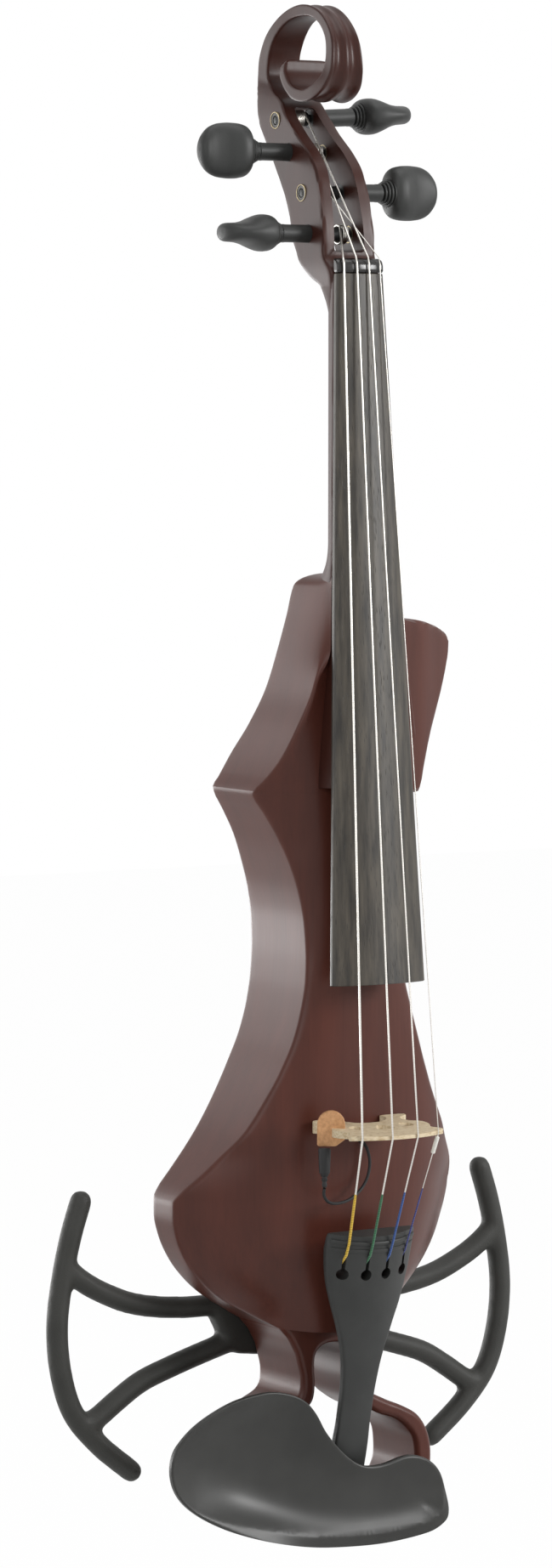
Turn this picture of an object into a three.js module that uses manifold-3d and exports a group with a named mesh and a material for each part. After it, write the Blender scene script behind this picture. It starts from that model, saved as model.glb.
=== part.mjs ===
// An electric violin with an open tail loop and a pair of wings behind it, built upright.
// Millimetres. +Z points up towards the scroll, -Y is the side of the strings, +X is the treble side.
// The origin lies on the centre line just under the fingerboard, level with the seam between it and the nut.

import * as THREE from "three";
import { mergeVertices } from "three/addons/utils/BufferGeometryUtils.js";
import Module from "manifold-3d";

const wasm = await Module();
wasm.setup();

// Fits shared by all pieces
const gap = 0.3; // between two pieces that touch
const overrun = 3; // how far a cut runs past the face it opens
const weld = 1e-4; // vertices closer than this are one

// Body: planes, lengths and half widths
const ridgeForward = 5.6; // ridge of the front, from the origin
const bodyDepth = 48; // from the ridge to the flat back
const bodyTop = 114; // below the origin
const bodyLength = 295; // down to the root of the tail loop
const lowerHalfWidth = 63.6;
const bellyCurve = 2.6; // power of the front's cross arch
const ridgePlane = -ridgeForward;
const backPlane = bodyDepth - ridgeForward;
const bodyEnd = bodyTop + bodyLength;
const boutShare = 0.8;
const boutDown = bodyTop + boutShare * bodyLength; // about the lower body's greatest width

// Along the body, left and right half width, depth at the edge, depth at the ridge, back cut away
const bodyRowShares = [
  [0, 0.197, 0.197, 1, 1, 0.562],
  [0.007, 0.225, 0.225, 1, 1, 0.51],
  [0.017, 0.239, 0.239, 1, 1, 0.469],
  [0.054, 0.266, 0.266, 1.01, 1, 0.427],
  [0.105, 0.31, 0.31, 1.073, 1, 0.367],
  [0.149, 0.344, 0.354, 1.033, 0.979, 0.288],
  [0.197, 0.421, 0.421, 0.967, 0.979, 0.192],
  [0.241, 0.497, 0.487, 0.865, 0.979, 0.054],
  [0.268, 0.555, 0.516, 0.74, 0.99, 0.01],
  [0.28, 0.588, 0.522, 0.677, 1, 0],
  [0.286, 0.582, 0.516, 0.656, 1, 0],
  [0.308, 0.525, 0.484, 0.692, 1, 0],
  [0.342, 0.443, 0.434, 0.742, 1, 0],
  [0.376, 0.388, 0.396, 0.804, 1, 0],
  [0.414, 0.34, 0.368, 0.838, 1, 0],
  [0.451, 0.314, 0.355, 0.862, 1, 0],
  [0.488, 0.307, 0.362, 0.877, 1, 0],
  [0.529, 0.318, 0.393, 0.892, 1, 0],
  [0.566, 0.346, 0.443, 0.883, 1, 0],
  [0.603, 0.396, 0.494, 0.881, 1, 0],
  [0.641, 0.475, 0.552, 0.867, 1, 0],
  [0.681, 0.569, 0.635, 0.817, 1, 0],
  [0.722, 0.682, 0.736, 0.754, 1, 0],
  [0.753, 0.786, 0.833, 0.625, 1, 0],
  [0.78, 0.888, 0.912, 0.525, 0.996, 0],
  [0.805, 0.981, 0.965, 0.406, 0.983, 0],
  [0.815, 1, 0.976, 0.365, 0.979, 0],
  [0.837, 0.998, 0.959, 0.362, 0.967, 0],
  [0.866, 0.965, 0.925, 0.346, 0.938, 0],
  [0.897, 0.893, 0.865, 0.346, 0.904, 0],
  [0.928, 0.774, 0.764, 0.354, 0.865, 0],
  [0.949, 0.657, 0.657, 0.354, 0.833, 0],
  [0.972, 0.498, 0.498, 0.346, 0.796, 0],
  [0.986, 0.346, 0.346, 0.346, 0.771, 0],
  [1, 0.236, 0.236, 0.417, 0.75, 0],
];

// Treble shoulder beside the neck
const hornReach = 49.3; // from the centre line
const hornTop = 131; // below the origin
const hornLength = 68;
const hornOutlineShares = [
  [0.203, 0.0], [0.406, 0.003], [0.609, 0.018], [0.824, 0.054], [0.927, 0.084], [0.982, 0.109],
  [1.0, 0.147], [0.996, 0.221], [0.97, 0.307], [0.915, 0.422], [0.835, 0.556], [0.75, 0.696],
  [0.675, 0.853], [0.615, 0.993], [0.406, 1.0], [0.203, 0.868],
];
const hornSectionShares = [
  [0.16, 1.0], [0.36, 0.985], [0.6, 0.92], [0.85, 0.8], [1.05, 0.7],
  [1.05, 0.42], [0.85, 0.26], [0.6, 0.12], [0.3, 0.0], [0.16, 0.0],
];

// Tail loop
const loopHalfWidth = 45.2;
const loopRoot = 9; // how far it reaches up into the body
const loopLength = 83.5;
const loopDepth = 33.2; // from the back
const loopOuterShares = [
  [0.323, 0.0], [0.327, 0.144], [0.327, 0.275], [0.378, 0.337], [0.538, 0.412], [0.721, 0.466],
  [0.854, 0.521], [0.947, 0.587], [0.991, 0.659], [1.0, 0.737], [0.978, 0.826], [0.898, 0.91],
  [0.741, 0.968], [0.487, 0.992], [0.0, 1.0],
];
const loopInnerShares = [
  [0.0, 0.166], [0.08, 0.175], [0.137, 0.204], [0.159, 0.251], [0.159, 0.329], [0.217, 0.39],
  [0.336, 0.441], [0.449, 0.486], [0.626, 0.531], [0.739, 0.577], [0.812, 0.628], [0.836, 0.705],
  [0.83, 0.778], [0.765, 0.846], [0.631, 0.881], [0.398, 0.898], [0.0, 0.908],
];
const loopTop = bodyEnd - loopRoot;
const loopBottom = loopTop + loopLength;
const loopFront = backPlane - loopDepth;

// Neck, fingerboard and nut
const neckPitch = THREE.MathUtils.degToRad(3.33);
const glueForward = 1.5; // from the origin to the face that carries the fingerboard
const boardLength = 270;
const boardNutWidth = 20.7;
const boardEndWidth = 41.7;
const boardEdge = 3; // thickness along the edges
const boardRadius = 42; // of the arched playing face
const neckDepth = 11.2; // behind the glue face
const neckInset = 0.4; // neck narrower than the board, each side
const neckBlockEnd = 195; // below the origin
const nutLength = 5.5;
const nutRise = 0.3; // over the board

// Head: pegbox and ring scroll
const headDepth = 57.6; // back of the pegbox, behind the origin
const headTop = 102.8; // above the origin
const headOutlineShares = [
  [-0.02, 0.057], [-0.02, -0.01], [-0.024, -0.045], [0.16, -0.045], [0.2, -0.03], [0.26, -0.012],
  [0.32, 0.012], [0.37, 0.045], [0.405, 0.085], [0.45, 0.143], [0.54, 0.276], [0.707, 0.403],
  [0.868, 0.52], [0.952, 0.59], [1.009, 0.681], [1.038, 0.739], [1.022, 0.817], [0.951, 0.89],
  [0.802, 0.955], [0.625, 0.992], [0.461, 1.0], [0.316, 0.981], [0.199, 0.939], [0.121, 0.877],
  [0.104, 0.812], [0.123, 0.744], [0.187, 0.689], [0.302, 0.65], [0.437, 0.64], [0.571, 0.654],
  [0.672, 0.683], [0.748, 0.725], [0.777, 0.776], [0.758, 0.8], [0.711, 0.798], [0.692, 0.752],
  [0.623, 0.708], [0.536, 0.688], [0.439, 0.683], [0.326, 0.701], [0.234, 0.744], [0.194, 0.802],
  [0.203, 0.866], [0.269, 0.918], [0.366, 0.949], [0.487, 0.957], [0.633, 0.947], [0.755, 0.918],
  [0.849, 0.871], [0.899, 0.817], [0.915, 0.768], [0.899, 0.726], [0.848, 0.706], [0.806, 0.684],
  [0.672, 0.646], [0.568, 0.584], [0.416, 0.508], [0.271, 0.444], [0.168, 0.375], [0.113, 0.286],
  [0.068, 0.179], [0.045, 0.062],
];
const headHalfWidth = 12; // at the nut
const headWidthShares = [
  [0.86, -0.05], [0.985, 0.06], [0.958, 0.179], [0.925, 0.286], [0.883, 0.37], [0.85, 0.457],
  [0.825, 0.52], [0.767, 0.59], [0.66, 0.648], [0.57, 0.7], [0.525, 0.75], [0.517, 0.8], [0.517, 1.01],
];
const cheekWall = 4.9;
const pegboxFloor = 8; // above the origin
const pegboxRoof = 64;

// Pegs: head side, axis behind and above the origin, degrees by which the axis rises to the treble side
const pegs = [
  { name: "peg_g", side: -1, back: 14.6, up: 15.1, rise: 0, turned: true },
  { name: "peg_d", side: -1, back: 31, up: 46.5, rise: 0, turned: false },
  { name: "peg_a", side: 1, back: 40.4, up: 59.6, rise: 3.5, turned: true },
  { name: "peg_e", side: 1, back: 19.9, up: 30.9, rise: 0.9, turned: false },
];
const casingRadius = 3.5;
const casingReach = 24.5; // from the centre line
const pegShaftRadius = 1.5;
const spoolRadius = 2.75;
const bushRadius = 3.2;
const bushInset = 0.4;
const pegHeadLength = 25.3;
const pegHeadHalfHeight = 10.6;
const pegHeadHalfThickness = 7;
const pegHeadRowShares = [
  [0.0, 0.43, 0.66], [0.1, 0.43, 0.66], [0.12, 0.37, 0.56], [0.16, 0.42, 0.72], [0.22, 0.68, 0.97],
  [0.3, 0.88, 1.0], [0.42, 0.99, 0.82], [0.55, 1.0, 0.6], [0.7, 0.95, 0.5], [0.84, 0.77, 0.45],
  [0.94, 0.5, 0.38], [1.0, 0.18, 0.2],
];

// Tailpiece's place, hung from the tail loop
const tailLength = 106;
const tailHalfWidth = 19.6;
const tailForward = 22.9; // crest of the upper end, from the origin
const tailEndLift = 8.1; // crest of the lower end, in front of the tail loop
const tailGutRun = 14.26; // from the tailpiece's lower end to the loop's bottom
const tailPitch = Math.asin((tailForward + loopFront - tailEndLift) / tailLength);
const tailDown = loopBottom - tailGutRun - tailLength * Math.cos(tailPitch);

// Strings, from bass to treble
const stringNutGap = 5.45; // between neighbours at the nut
const stringBridgeGap = 11.5;
const stringTailGap = 9;
const bridgeCrownForward = 38.6; // from the origin to the crown's top
const afterLength = 40; // from the bridge to the tailpiece
const crownRadius = 42;
const bridgeDown = tailDown - afterLength;
const strings = [
  { name: "string_g", radius: 0.42, peg: 0, turns: 3, order: -1.5 },
  { name: "string_d", radius: 0.38, peg: 1, turns: 3, order: -0.5 },
  { name: "string_a", radius: 0.34, peg: 2, turns: 4, order: 0.5 },
  { name: "string_e", radius: 0.2, peg: 3, turns: 3, order: 1.5 },
];
const windingGap = 0.5; // between neighbouring turns
const sleeveRadius = 0.85;
const sleeveLength = 7;

// Bridge
const bridgeHeight = bridgeCrownForward + ridgePlane;
const bridgeHalfWidth = 21.2;
const bridgeFootThickness = 4.8;
const bridgeCrownThickness = 1.4;
const bridgeOutlineShares = [
  [0.0, 0.288], [0.236, 0.267], [0.425, 0.167], [0.495, 0.061], [0.448, 0.0], [0.981, 0.0],
  [0.986, 0.048], [0.778, 0.127], [0.717, 0.227], [0.764, 0.318], [0.958, 0.394], [0.986, 0.515],
  [0.925, 0.621], [0.868, 0.682], [0.972, 0.773], [1.0, 0.825], [0.896, 0.861], [0.814, 0.885],
  [0.566, 0.946], [0.283, 0.987], [0.0, 1.0],
];
const bridgeHeartShares = [
  [0.0, 0.42], [0.09, 0.47], [0.16, 0.54], [0.17, 0.61], [0.1, 0.65], [0.0, 0.61],
];
const bridgeKidneyShares = [
  [0.42, 0.44], [0.5, 0.4], [0.62, 0.42], [0.66, 0.5], [0.6, 0.58], [0.48, 0.58], [0.41, 0.52],
];

// Pickup on the bass side of the bridge
const pickupDiscRadius = 5;
const pickupDiscThickness = 3.6;
const pickupAcross = -23.6;
const pickupForward = 24; // from the origin
const pickupDown = bridgeDown - 5.1;
const pickupTurn = THREE.MathUtils.degToRad(32);
const pickupBlock = { width: 6.4, depth: 5.4, height: 7.6, across: -25.2, down: bridgeDown + 0.4 };
const reliefLength = 15.2;
const reliefRadius = 2.9;
const reliefTipRadius = 0.9;
const cableRadius = 0.6;
const cableHole = { across: 1, down: bridgeDown + 5.2 };
// The cable's route in front of the body, from the strain relief to its hole: across, behind the origin,
// over the bridge's middle
const cableFrontRoute = [
  [-25.1, -21.4, -19.8], [-24.9, -20.6, -21.4], [-24.0, -19.6, -23.2], [-21.9, -18.2, -25.2],
  [-18.6, -16.6, -26.6], [-14.4, -14.8, -27.1], [-9.8, -13.2, -26.8], [-5.4, -11.8, -25.4],
  [-1.6, -10.8, -23.0], [1.1, -10.2, -19.8], [2.5, -9.9, -16.2], [2.8, -9.8, -12.8],
  [2.3, -9.6, -9.6], [1.6, -8.8, -7.0], [1.1, -7.0, -5.6],
];
// Through its hole: across, behind the cavity's floor, over the hole's middle
const cableHoleRoute = [[1, -22.4, 0], [1, -18, 0], [1, -10, 0], [1, -3, 0], [1, 0.2, 0], [0.8, 1.7, -1]];
// In the cavity to the circuit board: across, behind the cavity's floor, over the board's upper edge
const cableBackRoute = [
  [0.3, 2.5, 9.2], [-0.3, 2.8, 6], [-1.1, 4.0, 2.8], [-2.0, 6.4, -0.2], [-2.6, 9.2, -2.4], [-2.7, 12.2, -3.3],
];

// Tailpiece, tail gut, saddle and end button
const tailArch = 30; // radius of the top
const tailEdge = 3.4;
const tailRowShares = [
  [0.0, 1.0], [0.047, 0.99], [0.113, 0.964], [0.189, 0.898], [0.264, 0.786], [0.354, 0.622],
  [0.439, 0.49], [0.528, 0.408], [0.623, 0.372], [0.717, 0.367], [0.821, 0.388], [0.906, 0.378],
  [0.972, 0.286], [1.0, 0.179],
];
const fretDown = 2.6; // from the tailpiece's upper end
const fretRise = 0.9;
const fretWidth = 1.6;
const keyholeDown = 15.6;
const keyholeRadius = 2.2;
const slotDown = 7.5;
const slotWidth = 1.3;
const gutRadius = 0.9;
const gutHalfSpread = 4.4;
const saddleHalfWidth = 12;
const saddleRise = 4.2;
const saddleLength = 6.4;
const buttonBack = backPlane - 16.4;
const buttonNeckRadius = 3.4;
const buttonHeadRadius = 6;
const buttonHeadThickness = 2.4;
const buttonPlugRadius = 3;
const buttonPlugLength = 5;

// Chin rest
const chinHalfWidth = 84; // to the far edge of the cup
const chinTop = loopBottom - 58.5; // below the origin
const chinHeight = 63;
const chinStand = 17.8; // rim's height in front of the tail loop
const chinLip = 4.6; // lower lip, in front of the rim
const chinCupDepth = 8.4;
const chinWall = 3.4;
const chinRoll = 3.2;
const chinRim = chinStand - loopFront; // in front of the origin
const chinOutlineShares = [
  [0.024, 0.532], [0.15, 0.538], [0.243, 0.483], [0.323, 0.486], [0.407, 0.532], [0.464, 0.619],
  [0.489, 0.746], [0.488, 0.862], [0.448, 0.941], [0.325, 0.976], [0.096, 1.003], [-0.173, 0.994],
  [-0.381, 0.948], [-0.593, 0.846], [-0.782, 0.741], [-0.904, 0.638], [-0.97, 0.535], [-0.999, 0.417],
  [-0.988, 0.305], [-0.927, 0.186], [-0.804, 0.07], [-0.65, 0.006], [-0.482, -0.003], [-0.369, 0.025],
  [-0.283, 0.083], [-0.231, 0.148], [-0.185, 0.268], [-0.138, 0.375], [-0.069, 0.473],
];
const chinSpineShares = [[-0.56, 0.46], [0.3, 0.74]];
const footRoot = chinRim - chinWall / 2; // inside the cup's wall
const footInner = 15; // of each foot, from the centre line
const footWidth = 15;
const footLength = 5.4;
const padThickness = 1.2;
const padInset = 1; // of the back pad, over the loop's lower edge
const clampAcross = 19;
const postRadius = 1.5;
const barrelRadius = 2.7;
const barrelLength = 18;
const barrelHoleRadius = 0.7;
const bracketThickness = 2;
const bracketHalfWidth = 23;
const bracketHook = 9;

// Wings
const wingRadius = 4.4; // of the bars
const wingSpan = 102.4; // widest bar's centre from the centre line
const wingTop = boutDown + 6.5; // centre of the upper bar end
const wingHeight = 104.8;
const wingArcShares = [
  [0.899, -0.02], [0.941, 0.105], [0.979, 0.267], [1.0, 0.434], [0.985, 0.603], [0.932, 0.759],
  [0.822, 0.886], [0.679, 1.0],
];
const wingUpperShares = [
  [0.973, 0.213], [0.889, 0.278], [0.811, 0.322], [0.686, 0.373], [0.536, 0.402], [0.374, 0.411],
  [0.195, 0.4],
];
const wingLowerShares = [
  [0.898, 0.825], [0.822, 0.785], [0.753, 0.739], [0.64, 0.672], [0.498, 0.624], [0.377, 0.589],
  [0.228, 0.549], [0.098, 0.51],
];
const wingHubShares = [
  [0.012, 0.386], [0.034, 0.348], [0.293, 0.354], [0.352, 0.406], [0.308, 0.496], [0.234, 0.601],
  [0.034, 0.62], [0.012, 0.587],
];
const wingScrewShares = [[0.088, 0.47], [0.225, 0.39]];
const screwRadius = 1.7;
const screwHeadRadius = 3.6;
const screwHeadThickness = 2;
const wingScrewDepth = 12; // in the body

// Electronics in the back
const cavityFloor = backPlane - 24.4;
const cavityTop = boutDown - 50;
const cavityBottom = boutDown + 33;
const cavityTopHalfWidth = 20;
const cavityHalfWidth = 40;
const cavityShoulder = boutDown - 12; // where it reaches its full width
const coverThickness = 2.5;
const coverRim = 3.6; // ledge that the cover rests on
const coverScrewRadius = 1.3;
const coverScrewHeadRadius = 2.6;
const coverScrewLength = 9;
const coverBoss = 6;
const battery = { width: 48.5, height: 26.5, depth: 17.5, down: boutDown - 27 };
const doorMargin = 1.6; // door larger than the battery, each side
const hingeRadius = coverThickness / 2;
const hingeStub = 2.2;
const hingeStubRadius = 0.7;
const board = { left: -30, right: 12, top: boutDown - 6, bottom: boutDown + 30, thickness: 1.6 };
const knobRadius = 7;
const knobRise = 6;
const potBody = { width: 11, height: 11, depth: 7.4 };
const potShaftRadius = 3;
const knobAcross = -24;
const volumeDown = boutDown + 3;
const toneDown = boutDown + 21;
const switchAcross = -6;
const switchDown = boutDown + 6;
const switchBody = { width: 8, height: 14 };
const switchLever = { width: 2.6, height: 3, rise: 1.6 };
const switchTravel = 4;
const socketBack = backPlane - 8.5;
const outputSocket = { alongShare: 0.927, radius: 5.5, length: 24, flange: 7.2, bore: 3.2 };
const phonesSocket = { alongShare: 0.879, radius: 3.2, length: 13, flange: 4.4, bore: 1.75 };
const flangeThickness = 1.4;

// Finishes
const finishes = {
  redBrownWood: { color: 0x5a352e, roughness: 0.42, metalness: 0 },
  ebony: { color: 0x35322f, roughness: 0.5, metalness: 0 },
  maple: { color: 0xd9b98a, roughness: 0.6, metalness: 0 },
  pearwood: { color: 0xd99a62, roughness: 0.6, metalness: 0 },
  mattBlack: { color: 0x36363a, roughness: 0.6, metalness: 0 },
  satinBlack: { color: 0x303033, roughness: 0.4, metalness: 0 },
  rubberBlack: { color: 0x1c1c1e, roughness: 0.75, metalness: 0 },
  silver: { color: 0xc9c8c2, roughness: 0.3, metalness: 1 },
  steel: { color: 0xa9abae, roughness: 0.35, metalness: 1 },
  brass: { color: 0xb08d4a, roughness: 0.35, metalness: 1 },
  cork: { color: 0xb48a5c, roughness: 0.9, metalness: 0 },
  sleeve: { color: 0xf2f2ee, roughness: 0.5, metalness: 0 },
  circuit: { color: 0x1e5a3a, roughness: 0.5, metalness: 0 },
  cell: { color: 0x2a2d33, roughness: 0.4, metalness: 0.3 },
};

const violin = new THREE.Group();
const neckGroup = new THREE.Group();
neckGroup.position.set(0, -glueForward, 0);
neckGroup.rotation.x = -neckPitch;
violin.add(neckGroup);
const tailGroup = new THREE.Group();
tailGroup.position.set(0, -tailForward, -tailDown);
tailGroup.rotation.x = tailPitch;
violin.add(tailGroup);
violin.updateMatrixWorld(true);

function addPiece(name, shape, finish, parent = violin) {
  const geometry = shape.isBufferGeometry ? shape : geometryOf(shape);
  const mesh = new THREE.Mesh(geometry, new THREE.MeshStandardMaterial(finishes[finish]));
  mesh.name = name;
  parent.add(mesh);
  return mesh;
}

// Solids
function solid(geometry) {
  const bare = new THREE.BufferGeometry();
  bare.setAttribute("position", geometry.getAttribute("position"));
  if (geometry.index) bare.setIndex(geometry.index);
  const merged = mergeVertices(bare, weld);
  const vertProperties = new Float32Array(merged.attributes.position.array);
  const triVerts = new Uint32Array(merged.index.array);
  return new wasm.Manifold(new wasm.Mesh({ numProp: 3, vertProperties, triVerts }));
}

function geometryOf(made) {
  const mesh = made.getMesh();
  const geometry = new THREE.BufferGeometry();
  geometry.setAttribute("position", new THREE.BufferAttribute(new Float32Array(mesh.vertProperties), 3));
  geometry.setIndex(new THREE.BufferAttribute(new Uint32Array(mesh.triVerts), 1));
  geometry.computeVertexNormals();
  return geometry;
}

function join(...solids) {
  return solids.reduce((all, next) => all.add(next));
}

function cut(from, ...tools) {
  return tools.reduce((left, tool) => left.subtract(tool), from);
}

function box(x0, x1, y0, y1, z0, z1) {
  const made = new THREE.BoxGeometry(x1 - x0, y1 - y0, z1 - z0);
  return solid(made.translate((x0 + x1) / 2, (y0 + y1) / 2, (z0 + z1) / 2));
}

function planeShape(points) {
  return new THREE.Shape(points.map(([a, b]) => new THREE.Vector2(a, b)));
}

// A plate whose outline is drawn in X and Z, between two planes of Y
function plateFacingY(points, y0, y1) {
  const made = new THREE.ExtrudeGeometry(planeShape(points), { depth: y1 - y0, bevelEnabled: false });
  return solid(made.rotateX(Math.PI / 2).translate(0, y1, 0));
}

// A plate whose outline is drawn in Y and Z, between two planes of X
function plateFacingX(points, x0, x1) {
  const made = new THREE.ExtrudeGeometry(planeShape(points), { depth: x1 - x0, bevelEnabled: false });
  made.rotateY(Math.PI / 2).rotateX(Math.PI / 2);
  return solid(made.translate(x0, 0, 0));
}

// A plate whose outline is drawn in X and Y, between two planes of Z
function plateFacingZ(points, z0, z1) {
  const made = new THREE.ExtrudeGeometry(planeShape(points), { depth: z1 - z0, bevelEnabled: false });
  return solid(made.translate(0, 0, z0));
}

function scaled(shares, across, up, startUp = 0) {
  return shares.map(([a, b]) => [a * across, startUp + b * up]);
}

function mirrored(points) {
  const other = points
    .filter(([x]) => x > weld)
    .map(([x, y]) => [-x, y])
    .reverse();
  return points.concat(other);
}

// A rounded polyline through the points, closed or open
function rounded(points, steps, closed = false) {
  const curve = new THREE.CatmullRomCurve3(points.map(([a, b]) => new THREE.Vector3(a, b, 0)), closed, "centripetal");
  const drawn = curve.getPoints(steps).map((p) => [p.x, p.y]);
  if (closed) drawn.pop();
  return drawn;
}

// A solid through rings of equal count, closed with flat ends
function loft(rings) {
  const count = rings[0].length;
  const positions = rings.flat().flatMap((p) => [p.x, p.y, p.z]);
  const faces = [];
  for (let r = 0; r + 1 < rings.length; r++) {
    for (let i = 0; i < count; i++) {
      const a = r * count + i;
      const b = r * count + ((i + 1) % count);
      faces.push(a, b, b + count, a, b + count, a + count);
    }
  }
  capInto(faces, rings[0], 0, true);
  capInto(faces, rings[rings.length - 1], (rings.length - 1) * count, false);
  const geometry = new THREE.BufferGeometry();
  geometry.setAttribute("position", new THREE.Float32BufferAttribute(positions, 3));
  geometry.setIndex(faces);
  const made = solid(geometry);
  if (made.volume() > 0) return made;
  for (let i = 0; i < faces.length; i += 3) [faces[i], faces[i + 1]] = [faces[i + 1], faces[i]];
  geometry.setIndex(faces);
  return solid(geometry);
}

// Flat end of a loft, triangulated in the plane of its own ring
function capInto(faces, ring, start, reversed) {
  const centre = ring.reduce((sum, p) => sum.add(p), new THREE.Vector3()).divideScalar(ring.length);
  const normal = new THREE.Vector3();
  ring.forEach((p, i) => {
    const next = ring[(i + 1) % ring.length];
    normal.add(p.clone().sub(centre).cross(next.clone().sub(centre)));
  });
  normal.normalize();
  const side = ring[0].clone().sub(centre);
  side.addScaledVector(normal, -side.dot(normal)).normalize();
  const other = normal.clone().cross(side);
  const flat = ring.map((p) => {
    const d = p.clone().sub(centre);
    return new THREE.Vector2(d.dot(side), d.dot(other));
  });
  for (const [a, b, c] of THREE.ShapeUtils.triangulateShape(flat, [])) {
    if (reversed) faces.push(start + c, start + b, start + a);
    else faces.push(start + a, start + b, start + c);
  }
}

// A round bar along a list of points, with rings square to its run
function bar(points, radiusAt, sides) {
  const rings = [];
  let across = null;
  points.forEach((point, i) => {
    const before = points[Math.max(i - 1, 0)];
    const after = points[Math.min(i + 1, points.length - 1)];
    const run = after.clone().sub(before).normalize();
    if (!across) {
      across = new THREE.Vector3(1, 0, 0);
      if (Math.abs(run.x) > 0.9) across.set(0, 1, 0);
    }
    across.addScaledVector(run, -across.dot(run)).normalize();
    const other = run.clone().cross(across);
    const radius = typeof radiusAt === "function" ? radiusAt(i) : radiusAt;
    rings.push(
      Array.from({ length: sides }, (_, k) => {
        const angle = (2 * Math.PI * k) / sides;
        return point
          .clone()
          .addScaledVector(across, radius * Math.cos(angle))
          .addScaledVector(other, radius * Math.sin(angle));
      }),
    );
  });
  return loft(rings);
}

// A turned piece on the X axis: profile points are place along X and radius
function turned(profile, sides = 12) {
  const made = new THREE.LatheGeometry(profile.map(([x, r]) => new THREE.Vector2(r, x)), sides);
  made.rotateZ(-Math.PI / 2);
  const shape = solid(made);
  if (shape.volume() > 0) return shape;
  const flipped = new THREE.LatheGeometry(profile.map(([x, r]) => new THREE.Vector2(r, x)).reverse(), sides);
  return solid(flipped.rotateZ(-Math.PI / 2));
}

function rod(x0, x1, radius, sides = 12) {
  return turned([[x0, 0], [x0, radius], [x1, radius], [x1, 0]], sides);
}

function ring(x0, x1, bore, radius, sides = 12) {
  return turned([[x0, bore], [x0, radius], [x1, radius], [x1, bore], [x0, bore]], sides);
}

// Turns a piece made on the X axis so that it points along Y, towards the back
function alongY(shape) {
  return shape.rotate([0, 0, 90]);
}

// Body rows in millimetres
const bodyRows = bodyRowShares.map(([along, left, right, edge, ridge, back]) => ({
  z: -(bodyTop + along * bodyLength),
  left: left * lowerHalfWidth,
  right: right * lowerHalfWidth,
  edge: backPlane - edge * bodyDepth,
  ridge: backPlane - ridge * bodyDepth,
  back: backPlane - back * bodyDepth,
}));

function bodyShell() {
  const steps = 12;
  const rings = bodyRows.map((row) => {
    const points = [new THREE.Vector3(-row.left, row.back, row.z), new THREE.Vector3(row.right, row.back, row.z)];
    for (let i = 0; i <= steps; i++) {
      const u = 1 - (2 * i) / steps;
      const x = u * (u > 0 ? row.right : row.left);
      points.push(new THREE.Vector3(x, row.ridge + (row.edge - row.ridge) * Math.abs(u) ** bellyCurve, row.z));
    }
    return points;
  });
  return loft(rings);
}

// Side outline of the body's sloping upper back, to trim the shoulder
function backSlope() {
  const upper = bodyRows.filter((row) => row.z > -(hornTop + hornLength) - overrun);
  const first = upper[0];
  const last = upper[upper.length - 1];
  const outline = upper.map((row) => [row.back, row.z]);
  outline.push([last.back, last.z - bodyDepth], [-bodyDepth, last.z - bodyDepth], [-bodyDepth, first.z]);
  return plateFacingX(outline, -overrun, hornReach + overrun);
}

function trebleShoulder() {
  const outline = scaled(hornOutlineShares, hornReach, -hornLength, -hornTop);
  const section = hornSectionShares.map(([x, y]) => [x * hornReach, backPlane - y * bodyDepth]);
  return plateFacingY(outline, -bodyDepth, bodyDepth)
    .intersect(plateFacingZ(section, -(hornTop + hornLength) - overrun, -hornTop + overrun))
    .intersect(backSlope());
}

function tailLoop() {
  const outer = rounded(scaled(loopOuterShares, loopHalfWidth, -loopLength, -loopTop), 24);
  const inner = rounded(scaled(loopInnerShares, loopHalfWidth, -loopLength, -loopTop), 28);
  const opening = plateFacingY(mirrored(inner), loopFront - overrun, backPlane + overrun);
  return cut(plateFacingY(mirrored(outer), loopFront, backPlane), opening);
}

// Places along the fingerboard
function boardHalfWidth(down) {
  return (boardNutWidth + ((boardEndWidth - boardNutWidth) * down) / boardLength) / 2;
}

function arch(radius, halfWidth, x) {
  return Math.sqrt(radius ** 2 - x ** 2) - Math.sqrt(radius ** 2 - halfWidth ** 2);
}

function boardTop(down, x) {
  return boardEdge + arch(boardRadius, boardHalfWidth(down), x);
}

function archedRing(down, halfWidth, underside, topAt, steps) {
  const points = [new THREE.Vector3(-halfWidth, underside, -down), new THREE.Vector3(halfWidth, underside, -down)];
  for (let i = 0; i <= steps; i++) {
    const x = halfWidth * (1 - (2 * i) / steps);
    points.push(new THREE.Vector3(x, -topAt(x), -down));
  }
  return points;
}

function addFingerboardAndNut() {
  const rings = [gap / 2, boardLength].map((down) =>
    archedRing(down, boardHalfWidth(down), -gap, (x) => boardTop(down, x), 12),
  );
  addPiece("fingerboard", loft(rings), "ebony", neckGroup);
  const nutRings = [-gap / 2, -nutLength * 0.7, -nutLength].map((down, i) => {
    const drop = i === 2 ? nutRise + boardEdge / 2 : 0;
    return archedRing(down, boardNutWidth / 2, -gap, (x) => boardTop(0, x) + nutRise - drop, 12);
  });
  addPiece("nut", loft(nutRings), "ebony", neckGroup);
}

function inNeck(shape) {
  return shape.rotate([-THREE.MathUtils.radToDeg(neckPitch), 0, 0]).translate([0, -glueForward, 0]);
}

function neckShaft() {
  const sides = 12;
  const stations = [0, 20, 60, 100, bodyTop + overrun];
  const rings = stations.map((down) => {
    const half = boardHalfWidth(down) - neckInset;
    return Array.from({ length: sides + 1 }, (_, i) => {
      const angle = (Math.PI * i) / sides;
      return new THREE.Vector3(half * Math.cos(angle), neckDepth * Math.sin(angle), -down);
    });
  });
  const shaft = inNeck(loft(rings));
  return shaft.intersect(box(-headDepth, headDepth, -headDepth, headDepth, -bodyTop + gap, overrun));
}

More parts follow.
